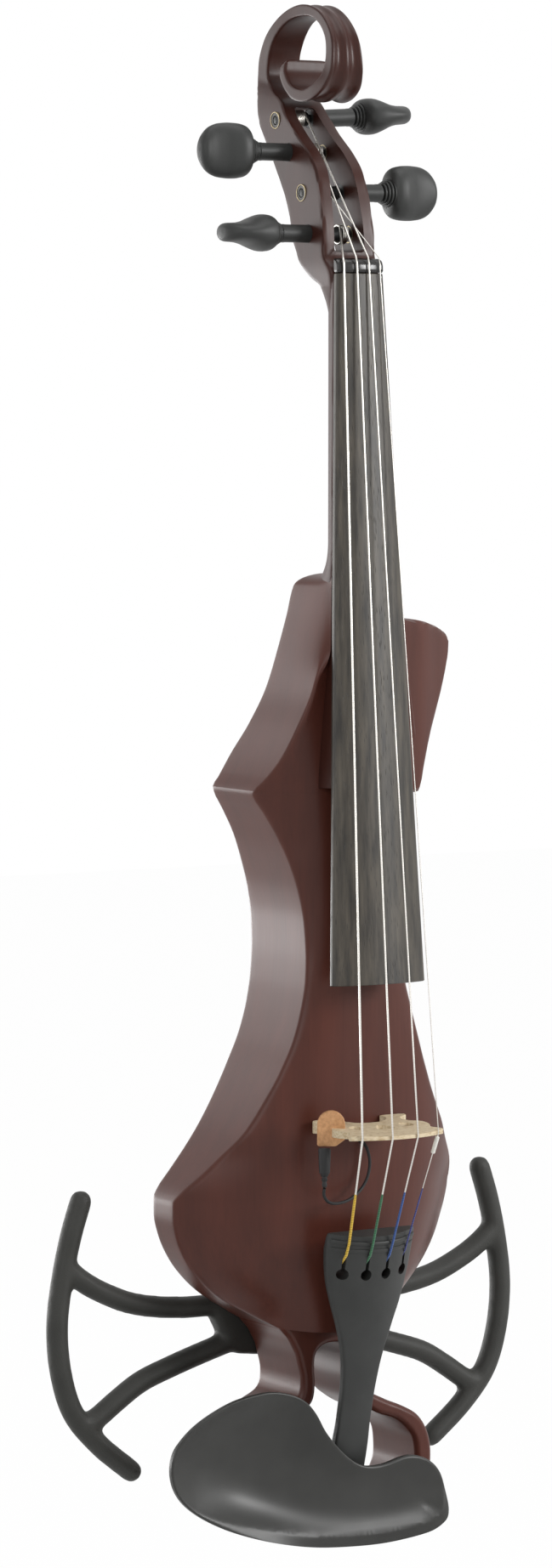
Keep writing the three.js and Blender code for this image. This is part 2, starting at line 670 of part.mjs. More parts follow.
// The tongue of the neck under the fingerboard, lying on the body's ridge
function neckBlock(clearance) {
  const rings = [bodyTop - overrun, neckBlockEnd + clearance].map((down) => {
    const half = boardHalfWidth(down) - 2 * neckInset + clearance;
    return [[-half, neckDepth], [half, neckDepth], [half, 0], [-half, 0]].map(
      ([x, y]) => new THREE.Vector3(x, y, -down),
    );
  });
  const tongue = inNeck(loft(rings));
  const back = ridgePlane - gap + clearance;
  return tongue.intersect(box(-headDepth, headDepth, -headDepth, back, -bodyLength, -bodyTop + overrun));
}

function headHalfWidthAt(up) {
  const rows = scaled(headWidthShares, headHalfWidth, headTop);
  for (let i = 0; i + 1 < rows.length; i++) {
    const [wide, low] = rows[i];
    const [next, high] = rows[i + 1];
    if (up <= high) return wide + ((next - wide) * (up - low)) / (high - low);
  }
  return rows[rows.length - 1][0];
}

function neckAndScroll() {
  const side = plateFacingX(scaled(headOutlineShares, headDepth, headTop), -headHalfWidth, headHalfWidth);
  const front = mirrored(scaled(headWidthShares, headHalfWidth, headTop));
  const head = side.intersect(plateFacingY(front, -headDepth, headDepth + overrun));
  const cavityRows = [pegboxFloor, (pegboxFloor + pegboxRoof) / 2, pegboxRoof];
  const cavity = mirrored(cavityRows.map((up) => [headHalfWidthAt(up) - cheekWall, up]));
  const opened = cut(head, plateFacingY(cavity, -headDepth, headDepth + overrun));
  const holes = pegs.flatMap((peg) => pegHoles(peg));
  return join(cut(opened, ...holes), neckShaft(), neckBlock(0));
}

function pegHoles(peg) {
  const near = rod(0, peg.side * (headHalfWidth + overrun), casingRadius + gap);
  const far = rod(-peg.side * (headHalfWidth + overrun), 0, bushRadius + gap);
  return [near, far].map((hole) => hole.rotate([0, -peg.rise, 0]).translate([0, peg.back, peg.up]));
}

// Casing, head, spool and far bush of one geared peg, made for the treble side and turned for the bass side
function addPeg(peg) {
  const group = new THREE.Group();
  group.position.set(0, peg.back, peg.up);
  group.rotation.y = -THREE.MathUtils.degToRad(peg.rise) + (peg.side < 0 ? Math.PI : 0);
  violin.add(group);
  const outer = headHalfWidthAt(peg.up);
  const inner = outer - cheekWall;
  const bore = pegShaftRadius + gap;
  addPiece(peg.name + "_casing", ring(inner, casingReach, bore, casingRadius), "mattBlack", group);
  addPiece(peg.name + "_bush", ring(-outer - bushInset, -inner, bore, bushRadius), "brass", group);
  const spoolEnd = inner - gap;
  const middle = (inner + casingReach) / 2;
  const spool = [
    [-outer - bushInset, 0], [-outer - bushInset, pegShaftRadius], [-spoolEnd, pegShaftRadius],
    [-spoolEnd, spoolRadius], [spoolEnd, spoolRadius], [spoolEnd, pegShaftRadius],
    [middle - gap / 2, pegShaftRadius], [middle - gap / 2, 0],
  ];
  addPiece(peg.name + "_spool", turned(spool), "mattBlack", group);
  addPiece(peg.name + "_head", pegHead(peg, middle + gap / 2), "mattBlack", group);
}

function pegHead(peg, shaftStart) {
  const sides = 10;
  const start = casingReach + gap;
  const rings = pegHeadRowShares.map(([along, high, thick]) => {
    const [a, b] = [high * pegHeadHalfHeight, thick * pegHeadHalfThickness];
    const [up, back] = peg.turned ? [b, a] : [a, b];
    return Array.from({ length: sides }, (_, i) => {
      const angle = (2 * Math.PI * i) / sides;
      return new THREE.Vector3(start + along * pegHeadLength, back * Math.sin(angle), up * Math.cos(angle));
    });
  });
  return join(loft(rings), rod(shaftStart, start + gap, pegShaftRadius));
}

// Where each string crosses the nut and the crown, in the whole part's frame
function stringPlaces(string) {
  const nutX = string.order * stringNutGap;
  const height = boardTop(0, nutX) + nutRise + gap + string.radius;
  const nut = new THREE.Vector3(nutX, -height, 0);
  const overNut = new THREE.Vector3(nutX, -height, nutLength * 0.6);
  const offNut = new THREE.Vector3(nutX, -height + 2 * nutRise, nutLength + gap);
  const crownX = string.order * stringBridgeGap;
  const lift = gap + string.radius;
  const drop = crownRadius - Math.sqrt(crownRadius ** 2 - crownX ** 2);
  const crown = new THREE.Vector3(crownX, -(bridgeCrownForward - drop + lift), -bridgeDown);
  const tailX = string.order * stringTailGap;
  const fretY = -(fretRise + gap + string.radius) + tailDrop(tailX);
  const fret = new THREE.Vector3(tailX, fretY, -fretDown);
  const end = new THREE.Vector3(tailX, tailDrop(tailX) - gap - string.radius, -slotDown);
  return {
    nut: nut.applyMatrix4(neckGroup.matrixWorld),
    overNut: overNut.applyMatrix4(neckGroup.matrixWorld),
    offNut: offNut.applyMatrix4(neckGroup.matrixWorld),
    crown,
    fret: fret.applyMatrix4(tailGroup.matrixWorld),
    end: end.applyMatrix4(tailGroup.matrixWorld),
  };
}

function tailDrop(x) {
  return tailArch - Math.sqrt(tailArch ** 2 - x ** 2);
}

// The turns on the spool, then the run over nut and crown to the tailpiece
function addString(string) {
  const peg = pegs[string.peg];
  const places = stringPlaces(string);
  const turnRadius = spoolRadius + gap + string.radius;
  const pitch = 2 * string.radius + windingGap;
  const outer = headHalfWidthAt(peg.up);
  const inner = outer - cheekWall;
  const startX = -peg.side * (inner - gap - 2 * string.radius);
  const perTurn = 24;
  const from = new THREE.Vector2(places.offNut.y - peg.back, places.offNut.z - peg.up);
  const reach = Math.acos(turnRadius / from.length());
  const leave = Math.atan2(from.y, from.x) - reach;
  const points = [];
  const total = string.turns * perTurn;
  for (let i = 0; i <= total; i++) {
    const angle = leave - (2 * Math.PI * (total - i)) / perTurn;
    const x = startX + (peg.side * pitch * i) / perTurn;
    const lift = x * Math.tan(THREE.MathUtils.degToRad(peg.rise));
    points.push(
      new THREE.Vector3(x, peg.back + turnRadius * Math.cos(angle), peg.up + lift + turnRadius * Math.sin(angle)),
    );
  }
  reportWindingGap(string, points, perTurn);
  points.push(places.offNut, places.overNut, places.nut, places.crown, places.fret, places.end);
  addPiece(string.name, bar(points, string.radius, 6), "silver");
}

// Prints the least clear space between neighbouring turns
function reportWindingGap(string, points, perTurn) {
  let least = Infinity;
  for (let i = 0; i < points.length; i++) {
    for (let k = i + Math.round(perTurn / 2); k < points.length; k++) {
      least = Math.min(least, points[i].distanceTo(points[k]) - 2 * string.radius);
    }
  }
  console.log(string.name + " turns clear each other by " + least.toFixed(2) + " mm");
}

function addStringSleeve() {
  const { crown, fret } = stringPlaces(strings[3]);
  const run = fret.clone().sub(crown).normalize();
  const start = crown.clone().addScaledVector(run, bridgeCrownThickness);
  const points = [start, start.clone().addScaledVector(run, sleeveLength)];
  const bore = bar(
    [points[0].clone().addScaledVector(run, -overrun), points[1].clone().addScaledVector(run, overrun)],
    strings[3].radius + gap / 2,
    8,
  );
  addPiece("e_string_sleeve", cut(bar(points, sleeveRadius, 10), bore), "sleeve");
}

function addBridge() {
  const toPlace = (shares) => shares.map(([x, up]) => [x * bridgeHalfWidth, ridgePlane - gap - up * (bridgeHeight - gap)]);
  const outline = mirrored(toPlace(bridgeOutlineShares));
  const halfFoot = bridgeFootThickness / 2;
  const halfCrown = bridgeCrownThickness / 2;
  const plate = plateFacingZ(outline, -bridgeDown - halfFoot, -bridgeDown + halfFoot);
  const wedge = [
    [overrun, -halfFoot], [overrun, halfFoot],
    [ridgePlane, halfFoot], [-bridgeCrownForward - overrun, halfCrown],
    [-bridgeCrownForward - overrun, -halfCrown], [ridgePlane, -halfFoot],
  ].map(([y, z]) => [y, z - bridgeDown]);
  const heart = plateFacingZ(mirrored(toPlace(bridgeHeartShares)), -bridgeDown - overrun, -bridgeDown + overrun);
  const kidneys = [1, -1].map((side) =>
    plateFacingZ(
      toPlace(bridgeKidneyShares).map(([x, y]) => [side * x, y]),
      -bridgeDown - overrun,
      -bridgeDown + overrun,
    ),
  );
  const shaped = plate.intersect(plateFacingX(wedge, -bridgeHalfWidth - overrun, bridgeHalfWidth + overrun));
  addPiece("bridge", cut(shaped, heart, kidneys[0], pickup(gap), bodyFoot()), "maple");
}

// The body's own front, raised by the touching gap, that the bridge's feet are fitted to
function bodyFoot() {
  return bodyShell().translate([0, -gap, 0]);
}

function pickup(clearance) {
  const half = pickupDiscThickness / 2 + clearance;
  const disc = alongY(rod(-half, half, pickupDiscRadius + clearance, 16))
    .rotate([0, 0, -THREE.MathUtils.radToDeg(pickupTurn)])
    .translate([pickupAcross, -pickupForward, -pickupDown]);
  const { width, depth, height, across, down } = pickupBlock;
  const block = box(
    across - width / 2 - clearance, across + width / 2 + clearance,
    -pickupForward - depth / 2 - clearance, -pickupForward + depth / 2 + clearance,
    -down - height / 2 - clearance, -down + height / 2 + clearance,
  );
  return join(disc, block);
}

function cableRoute() {
  return [
    ...cableFrontRoute.map(([x, back, up]) => new THREE.Vector3(x, back, up - bridgeDown)),
    ...cableHoleRoute.map(([x, back, up]) => new THREE.Vector3(x, cavityFloor + back, up - cableHole.down)),
    ...cableBackRoute.map(([x, back, up]) => new THREE.Vector3(x, cavityFloor + back, up - board.top)),
  ];
}

function addPickup() {
  addPiece("pickup_disc", pickup(0), "pearwood");
  const top = new THREE.Vector3(pickupBlock.across, -pickupForward, -pickupBlock.down - pickupBlock.height / 2 - 3 * gap);
  const tip = cableRoute()[0];
  const run = top.clone().sub(tip).normalize();
  tip.addScaledVector(run, gap);
  addPiece(
    "pickup_strain_relief",
    bar([tip, tip.clone().lerp(top, 0.25), top], (i) => [reliefTipRadius, 1.5 * reliefTipRadius, reliefRadius][i], 10),
    "rubberBlack",
  );
  const route = new THREE.CatmullRomCurve3(cableRoute(), false, "centripetal");
  addPiece("pickup_cable", bar(route.getPoints(60), cableRadius, 6), "rubberBlack");
}

function addTailpiece() {
  const rows = tailRowShares.map(([along, wide]) => [along * tailLength, wide * tailHalfWidth]);
  const rings = rows.map(([down, half]) => archedRing(down, half, tailDrop(half) + tailEdge, (x) => -tailDrop(x), 10));
  const frets = [fretDown, fretDown + 2 * fretWidth].map((down, i) => {
    const rise = i === 0 ? fretRise : fretRise / 2;
    const ends = [down - fretWidth / 2, down + fretWidth / 2].map((at) =>
      archedRing(at, tailHalfWidth * 0.97, tailDrop(tailHalfWidth) + tailEdge / 2, (x) => rise - tailDrop(x), 10),
    );
    return loft(ends);
  });
  const holes = strings.flatMap((string) => {
    const x = string.order * stringTailGap;
    const keyhole = alongY(rod(-tailHalfWidth, tailHalfWidth, keyholeRadius, 14)).translate([x, 0, -keyholeDown]);
    const slot = box(
      x - slotWidth / 2, x + slotWidth / 2, -tailHalfWidth, tailHalfWidth, -keyholeDown, -slotDown - slotWidth,
    );
    return [keyhole, slot];
  });
  addPiece("tailpiece", cut(join(loft(rings), ...frets), ...holes, gutHoles()), "mattBlack", tailGroup);
}

// The tail gut's way into the tailpiece's lower end, in the tailpiece's own frame
function gutHoles() {
  const half = gutHalfSpread + gutRadius + gap;
  return box(-half, half, tailEdge / 2 - gutRadius, tailEdge * 3, -tailLength - overrun, -tailLength + 6 * gutRadius);
}

function addTailGutSaddleAndButton() {
  const bottom = -loopBottom;
  const front = loopFront - gap - saddleRise - gap - gutRadius;
  const under = bottom - gap - gutRadius;
  const tail = new THREE.Vector3(gutHalfSpread, tailEdge / 2 + gap, -tailLength + 4 * gutRadius);
  tail.applyMatrix4(tailGroup.matrixWorld);
  const bend = 4 * gutRadius;
  const neck = buttonNeckRadius + gap + gutRadius;
  const half = [
    [tail.x, tail.y, tail.z],
    [gutHalfSpread, front, bottom + saddleLength],
    [gutHalfSpread, front, bottom + bend / 3],
    [gutHalfSpread, front + bend / 4, under + bend / 4],
    [gutHalfSpread, front + bend, under],
    [neck, (front + buttonBack) / 2, under],
    [neck, buttonBack, under],
    [neck * Math.SQRT1_2, buttonBack + neck * Math.SQRT1_2, under],
    [0, buttonBack + neck, under],
  ];
  const other = half.slice(0, -1).map(([x, y, z]) => [-x, y, z]).reverse();
  const route = half.concat(other).map((p) => new THREE.Vector3(...p));
  addPiece("tail_gut", bar(route, gutRadius, 8), "rubberBlack");
  const saddleBack = loopFront - gap;
  addPiece(
    "saddle",
    plateFacingX(
      [
        [saddleBack, bottom + gap], [saddleBack, bottom + saddleLength], [saddleBack - saddleRise / 2, bottom + saddleLength],
        [saddleBack - saddleRise, bottom + saddleLength * 0.7], [saddleBack - saddleRise, bottom + saddleLength * 0.25],
        [saddleBack - saddleRise * 0.55, bottom + gap],
      ],
      -saddleHalfWidth,
      saddleHalfWidth,
    ),
    "ebony",
  );
  const headTopAt = 2 * gap + 2 * gutRadius;
  const button = turned([
    [-buttonPlugLength, 0], [-buttonPlugLength, buttonPlugRadius], [gap, buttonPlugRadius], [gap, buttonNeckRadius],
    [headTopAt, buttonNeckRadius], [headTopAt, buttonHeadRadius], [headTopAt + buttonHeadThickness * 0.7, buttonHeadRadius],
    [headTopAt + buttonHeadThickness, buttonHeadRadius * 0.75], [headTopAt + buttonHeadThickness, 0],
  ]);
  addPiece("end_button", button.rotate([0, 90, 0]).translate([0, buttonBack, bottom]), "ebony");
}

function buttonHole() {
  const hole = rod(-buttonPlugLength - gap, overrun, buttonPlugRadius + gap);
  return hole.rotate([0, 90, 0]).translate([0, buttonBack, -loopBottom]);
}

// Chin rest: rings drawn in from the outline towards a spine, first over the cup and then back underneath
function chinPlaces() {
  const outline = rounded(scaled(chinOutlineShares, chinHalfWidth, -chinHeight, -chinTop), 36, true);
  const [a, b] = scaled(chinSpineShares, chinHalfWidth, -chinHeight, -chinTop);
  return outline.map(([x, z]) => {
    const along = ((x - a[0]) * (b[0] - a[0]) + (z - a[1]) * (b[1] - a[1])) / ((b[0] - a[0]) ** 2 + (b[1] - a[1]) ** 2);
    const t = THREE.MathUtils.clamp(along, 0, 1);
    const spine = [a[0] + t * (b[0] - a[0]), a[1] + t * (b[1] - a[1])];
    const low = THREE.MathUtils.smoothstep((-z - chinTop) / chinHeight, 0.7, 0.95);
    return { x, z, spine, cup: chinCupDepth * (1 - 0.9 * THREE.MathUtils.smoothstep(t, 0.05, 0.42)), lip: chinLip * low };
  });
}

function chinRing(places, inward, surface) {
  return places.map(({ x, z, spine, cup, lip }) => {
    const px = x + (spine[0] - x) * inward;
    const pz = z + (spine[1] - z) * inward;
    return new THREE.Vector3(px, surface(cup, lip), pz);
  });
}

function chinTopAt(inward, cup, lip) {
  const fall = Math.min(1, inward / 0.8);
  return -chinRim - lip * (1 - fall) ** 2 + cup * (1 - (1 - fall) ** 2);
}

function addChinRest() {
  const places = chinPlaces();
  const topShares = [0.8, 0.55, 0.32, 0.14, 0.04];
  const upper = topShares.map((share) => chinRing(places, share, (cup, lip) => chinTopAt(share, cup, lip)));
  const rim = chinRing(places, 0, (cup, lip) => -chinRim - lip * 0.8 + chinWall / 3);
  const side = chinRing(places, 0.015, (cup, lip) => -chinRim - lip * 0.3 + chinRoll);
  const lower = topShares
    .filter((share) => share > 0.05)
    .reverse()
    .map((share) => chinRing(places, share, (cup, lip) => chinTopAt(share, cup, lip * 0.4) + chinWall));
  const cup = loft([...upper, rim, side, ...lower]);
  const padFront = loopFront - gap - padThickness;
  const footBottom = -loopBottom + gap;
  const footTop = footBottom + footLength;
  const under = plateFacingY(places.map(({ x, z }) => [x, z]), -footRoot, padFront);
  const feet = [-1, 1].map((sideOf) => {
    const [near, far] = [footInner, footInner + footWidth];
    const [x0, x1] = sideOf > 0 ? [near, far] : [-far, -near];
    return box(x0, x1, -footRoot, padFront - gap, clampDown() - postRadius, footTop).intersect(under);
  });
  const posts = [-1, 1].map((sideOf) =>
    alongY(rod(padFront - gap - postRadius, clampMiddle() - gap / 2, postRadius, 12)).translate([sideOf * clampAcross, 0, clampDown()]),
  );
  addPiece("chin_rest", join(cup, ...feet, ...posts), "satinBlack");
  [-1, 1].forEach((sideOf) => {
    const [x0, x1] = sideOf > 0 ? [footInner, footInner + footWidth] : [-footInner - footWidth, -footInner];
    const name = sideOf > 0 ? "chin_rest_pad_treble" : "chin_rest_pad_bass";
    addPiece(name, box(x0, x1, padFront, loopFront - gap, footBottom, footTop), "cork");
  });
}

function clampDown() {
  return -loopBottom - gap - barrelRadius;
}

function clampMiddle() {
  return (loopFront + backPlane) / 2;
}

function addChinRestClamp() {
  const plateFront = backPlane + gap + padThickness + gap;
  const plateBack = plateFront + bracketThickness;
  const middle = clampMiddle();
  const hookTop = -loopBottom + bracketHook;
  const plate = box(-bracketHalfWidth, bracketHalfWidth, plateFront, plateBack, clampDown() - postRadius, hookTop);
  const rods = [-1, 1].map((sideOf) =>
    alongY(rod(middle + gap / 2, plateFront + gap, postRadius, 12)).translate([sideOf * clampAcross, 0, clampDown()]),
  );
  addPiece("chin_rest_bracket", join(plate, ...rods), "steel");
  addPiece(
    "chin_rest_back_pad",
    box(-bracketHalfWidth, bracketHalfWidth, backPlane + gap, plateFront - gap, -loopBottom + padInset, hookTop),
    "cork",
  );
  [-1, 1].forEach((sideOf) => {
    const barrel = ring(-barrelLength / 2, barrelLength / 2, postRadius + gap / 2, barrelRadius, 16);
    const name = sideOf > 0 ? "clamp_barrel_treble" : "clamp_barrel_bass";
    const hole = rod(-barrelRadius - overrun, barrelRadius + overrun, barrelHoleRadius, 8).rotate([0, 90, 0]);
    const drilled = cut(barrel, hole.translate([barrelLength / 4, 0, 0]));
    addPiece(name, alongY(drilled).translate([sideOf * clampAcross, middle, clampDown()]), "steel");
  });
}

// Wings: round bars that run into a flat hub behind the body
function wingMiddle() {
  return backPlane + gap + wingRadius;
}

function wingBar(shares, side, steps) {
  const points = rounded(scaled(shares, wingSpan, -wingHeight, -wingTop), steps);
  return bar(points.map(([x, z]) => new THREE.Vector3(side * x, wingMiddle(), z)), wingRadius, 8);
}

function roundEnd(share, side) {
  const [x, z] = scaled([share], wingSpan, -wingHeight, -wingTop)[0];
  return solid(new THREE.SphereGeometry(wingRadius, 8, 6).translate(side * x, wingMiddle(), z));
}

function wingScrewPlaces(side) {
  return scaled(wingScrewShares, wingSpan, -wingHeight, -wingTop).map(([x, z]) => [side * x, z]);
}

function addWing(name, side) {
  const hub = plateFacingY(
    scaled(wingHubShares, wingSpan, -wingHeight, -wingTop).map(([x, z]) => [side * x, z]),
    backPlane + gap,
    backPlane + gap + 2 * wingRadius,
  );
  const bars = [wingBar(wingArcShares, side, 14), wingBar(wingUpperShares, side, 8), wingBar(wingLowerShares, side, 8)];
  const ends = [wingArcShares[0], wingArcShares[wingArcShares.length - 1]].map((share) => roundEnd(share, side));
  const wing = join(hub, ...bars, ...ends);
  const behind = backPlane + gap + 2 * wingRadius;
  const holes = wingScrewPlaces(side).flatMap(([x, z]) => [
    alongY(rod(0, behind + overrun, screwRadius + gap)).translate([x, 0, z]),
    alongY(rod(behind - screwHeadThickness, behind + overrun, screwHeadRadius + gap)).translate([x, 0, z]),
  ]);
  addPiece(name, cut(wing, ...holes), "mattBlack");
  wingScrewPlaces(side).forEach(([x, z], i) => {
    const headBack = behind - gap;
    const headFront = behind - screwHeadThickness + gap;
    const screw = turned([
      [backPlane - wingScrewDepth, 0], [backPlane - wingScrewDepth, screwRadius], [headFront, screwRadius],
      [headFront, screwHeadRadius], [headBack, screwHeadRadius], [headBack, screwHeadRadius / 2],
      [headBack - screwHeadThickness / 2, screwHeadRadius / 2], [headBack - screwHeadThickness / 2, 0],
    ], 10);
    addPiece(name + "_screw_" + (i + 1), alongY(screw).translate([x, 0, z]), "steel");
  });
}

function wingScrewHoles() {
  return [-1, 1].flatMap((side) =>
    wingScrewPlaces(side).map(([x, z]) =>
      alongY(rod(backPlane - wingScrewDepth - gap, backPlane + overrun, screwRadius + gap)).translate([x, 0, z]),
    ),
  );
}

// Back cavity, cover and what sits behind it
function cavityOutline(grow) {
  return mirrored([
    [cavityTopHalfWidth + grow, -cavityTop + grow], [cavityHalfWidth + grow, -cavityShoulder + grow],
    [cavityHalfWidth + grow, -cavityBottom - grow],
  ]);
}

function coverScrewPlaces() {
  const inset = coverBoss / 2;
  return [
    [cavityTopHalfWidth - inset, -cavityTop + gap - inset],
    [-cavityTopHalfWidth + inset, -cavityTop + gap - inset],
    [cavityHalfWidth - inset, -cavityShoulder - coverBoss],
    [-cavityHalfWidth + inset, -cavityBottom + inset],
  ];
}

function bodyBosses() {
  const seat = backPlane - coverThickness - gap;
  return coverScrewPlaces().map(([x, z]) => {
    const boss = box(x - coverBoss, x + coverBoss, cavityFloor - overrun, seat, z - coverBoss, z + coverBoss);
    return boss.intersect(plateFacingY(cavityOutline(overrun), 0, backPlane));
  });
}

function coverScrewHoles() {
  return coverScrewPlaces().map(([x, z]) =>
    alongY(rod(backPlane - coverScrewLength - gap, backPlane, coverScrewRadius + gap)).translate([x, 0, z]),
  );
}

function doorWindow() {
  const half = battery.width / 2 + doorMargin;
  const halfUp = battery.height / 2 + doorMargin;
  return { half, top: -battery.down + halfUp, bottom: -battery.down - halfUp };
}

function addBackCover() {
  const front = backPlane - coverThickness;
  const plate = plateFacingY(cavityOutline(coverRim), front, backPlane);
  const { half, top, bottom } = doorWindow();
  const hinge = hingePlace();
  const stubHole = rod(-half - hingeStub - gap, half + hingeStub + gap, hingeStubRadius + gap / 2, 12);
  const openings = [
    box(-half, half, front - overrun, backPlane + overrun, bottom, top),
    stubHole.translate([0, hinge.y, hinge.z]),
    ...[volumeDown, toneDown].map((down) =>
      alongY(rod(front - overrun, backPlane + overrun, potShaftRadius + gap)).translate([knobAcross, 0, -down]),
    ),
    leverSlot(front - overrun, backPlane + overrun),
    ...coverScrewPlaces().flatMap(([x, z]) => [
      alongY(rod(front - overrun, backPlane + overrun, coverScrewRadius + gap)).translate([x, 0, z]),
      alongY(rod(backPlane - coverThickness / 2, backPlane + overrun, coverScrewHeadRadius + gap)).translate([x, 0, z]),
    ]),
  ];
  addPiece("back_cover", cut(plate, ...openings), "mattBlack");
  coverScrewPlaces().forEach(([x, z], i) => {
    const headFront = backPlane - coverThickness / 2 + gap;
    const screw = turned([
      [backPlane - coverScrewLength, 0], [backPlane - coverScrewLength, coverScrewRadius],
      [headFront, coverScrewRadius], [headFront, coverScrewHeadRadius], [backPlane, coverScrewHeadRadius],
      [backPlane, coverScrewRadius / 2], [backPlane - coverThickness / 4, coverScrewRadius / 2],
      [backPlane - coverThickness / 4, 0],
    ], 10);
    addPiece("cover_screw_" + (i + 1), alongY(screw).translate([x, 0, z]), "steel");
  });
}

function hingePlace() {
  const { top } = doorWindow();
  return { y: backPlane - hingeRadius, z: top - gap - hingeRadius };
}

function addBatteryAndDoor() {
  const { half, bottom } = doorWindow();
  const hinge = hingePlace();
  const front = backPlane - coverThickness;
  const batteryBack = front - gap;
  addPiece(
    "battery",
    box(
      -battery.width / 2, battery.width / 2, batteryBack - battery.depth, batteryBack,
      -battery.down - battery.height / 2, -battery.down + battery.height / 2,
    ),
    "cell",
  );
  const flap = box(-half + gap, half - gap, front, backPlane, bottom + gap, hinge.z);
  const barrel = rod(-half + gap, half - gap, hingeRadius, 12).translate([0, hinge.y, hinge.z]);
  const stub = rod(-half - hingeStub, half + hingeStub, hingeStubRadius, 12).translate([0, hinge.y, hinge.z]);
  addPiece("battery_door", join(flap, barrel, stub), "mattBlack");
}

// The circuit board with the housings of both potentiometers and of the slide switch soldered on
function addElectronics() {
  const front = backPlane - coverThickness;
  const boardBack = front - gap - potBody.depth;
  const boardFront = boardBack - board.thickness;
  const housings = [volumeDown, toneDown].map((down) =>
    box(
      knobAcross - potBody.width / 2, knobAcross + potBody.width / 2, boardFront, front - gap,
      -down - potBody.height / 2, -down + potBody.height / 2,
    ),
  );
  const bores = [volumeDown, toneDown].map((down) =>
    alongY(rod(boardBack + board.thickness, front, potShaftRadius + gap)).translate([knobAcross, 0, -down]),
  );
  const switchHousing = box(
    switchAcross - switchBody.width / 2, switchAcross + switchBody.width / 2, boardFront, front - gap,
    -switchDown - switchBody.height / 2, -switchDown + switchBody.height / 2,
  );
  const plate = box(board.left, board.right, boardFront, boardBack, -board.bottom, -board.top);
  const soldered = join(plate, ...housings, switchHousing);
  addPiece("circuit_board", cut(soldered, ...bores, leverSlot(boardBack + board.thickness, front)), "circuit");
  addPiece("volume_knob", knob(volumeDown, boardBack + board.thickness + gap), "mattBlack");
  addPiece("tone_knob", knob(toneDown, boardBack + board.thickness + gap), "mattBlack");
  const restDown = switchDown + switchTravel / 2;
  addPiece(
    "power_switch_lever",
    box(
      switchAcross - switchLever.width / 2, switchAcross + switchLever.width / 2,
      boardBack + board.thickness + gap, backPlane + switchLever.rise,
      -restDown - switchLever.height / 2, -restDown + switchLever.height / 2,
    ),
    "mattBlack",
  );
}

// Room for the lever and its travel, between two planes of Y
function leverSlot(y0, y1) {
  const half = switchLever.width / 2 + gap;
  const halfUp = (switchLever.height + switchTravel) / 2 + gap;
  return box(switchAcross - half, switchAcross + half, y0, y1, -switchDown - halfUp, -switchDown + halfUp);
}

// A fluted knob, one with the shaft that enters its potentiometer
function knob(down, shaftFront) {
  const start = backPlane + 2 * gap;
  const flutes = 12;
  const profile = Array.from({ length: 2 * flutes }, (_, i) => {
    const radius = i % 2 ? knobRadius : knobRadius * 0.92;
    const angle = (Math.PI * i) / flutes;
    return [radius * Math.cos(angle), radius * Math.sin(angle)];
  });
  const pointer = box(-gap, gap, start + knobRise - gap, start + knobRise + overrun, 0, knobRadius);
  const shaft = alongY(rod(shaftFront, start + gap, potShaftRadius));
  return cut(join(plateFacingY(profile, start, start + knobRise), shaft), pointer).translate([knobAcross, 0, -down]);
}

// Point on the body's treble wall, a share of the way down the body
function wallPoint(share) {
  const next = bodyRowShares.findIndex(([along]) => along >= share);
  const [a, b] = [bodyRowShares[next - 1], bodyRowShares[next]];
  const part = (share - a[0]) / (b[0] - a[0]);
  const across = (a[2] + (b[2] - a[2]) * part) * lowerHalfWidth;
  return new THREE.Vector2(across, -(bodyTop + share * bodyLength));
}

// Sockets that enter the lower treble wall square to it, with the flange's rim just under the wall
function socketAt(socket, shape) {
  const reach = socket.flange / bodyLength;
  const [high, low] = [-reach, reach].map((step) => wallPoint(socket.alongShare + step));
  const run = high.clone().sub(low);
  const turn = THREE.MathUtils.radToDeg(Math.atan2(-run.x, run.y));
  const middle = high.clone().add(low).divideScalar(2);
  return shape.rotate([0, -turn, 0]).translate([middle.x, socketBack, middle.y]);
}

function socketHoles(socket) {
  return [
    socketAt(socket, rod(-socket.length - gap, overrun, socket.radius + gap)),
    socketAt(socket, rod(-flangeThickness, socket.flange, socket.flange + gap)),
  ];
}

function addSocket(name, socket) {
  const shell = turned([
    [-socket.length, 0], [-socket.length, socket.radius], [-flangeThickness + gap, socket.radius],
    [-flangeThickness + gap, socket.flange], [gap, socket.flange], [gap, socket.bore],
    [-socket.length + flangeThickness, socket.bore], [-socket.length + flangeThickness, 0],
  ]);
  addPiece(name, socketAt(socket, shell), "steel");
}

function body() {
  const whole = join(bodyShell(), trebleShoulder(), tailLoop());
  const cavity = plateFacingY(cavityOutline(0), cavityFloor, backPlane + overrun);
  const rebate = plateFacingY(cavityOutline(coverRim + gap), backPlane - coverThickness - gap, backPlane + overrun);
  const cableBore = alongY(rod(-bodyDepth, cavityFloor + overrun, cableRadius + gap, 12));
  const hollowed = cut(
    whole,
    cavity,
    neckBlock(gap),
    cableBore.translate([cableHole.across, 0, -cableHole.down]),
    ...wingScrewHoles(),
    buttonHole(),
    ...socketHoles(outputSocket),
    ...socketHoles(phonesSocket),
  );
  return cut(join(hollowed, ...bodyBosses()), rebate, ...coverScrewHoles());
}

addPiece("body", body(), "redBrownWood");
addPiece("neck_and_scroll", neckAndScroll(), "redBrownWood");
addFingerboardAndNut();
pegs.forEach(addPeg);
strings.forEach(addString);
addStringSleeve();
addBridge();
addPickup();
addTailpiece();
addTailGutSaddleAndButton();
addChinRest();
addChinRestClamp();
addWing("wing_bass", -1);
addWing("wing_treble", 1);
addBackCover();
addBatteryAndDoor();
addElectronics();
addSocket("output_socket", outputSocket);
addSocket("headphone_socket", phonesSocket);

export default violin;
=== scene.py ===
import math

import bpy
import numpy as np
from mathutils import Matrix, Vector
from mathutils.geometry import delaunay_2d_cdt


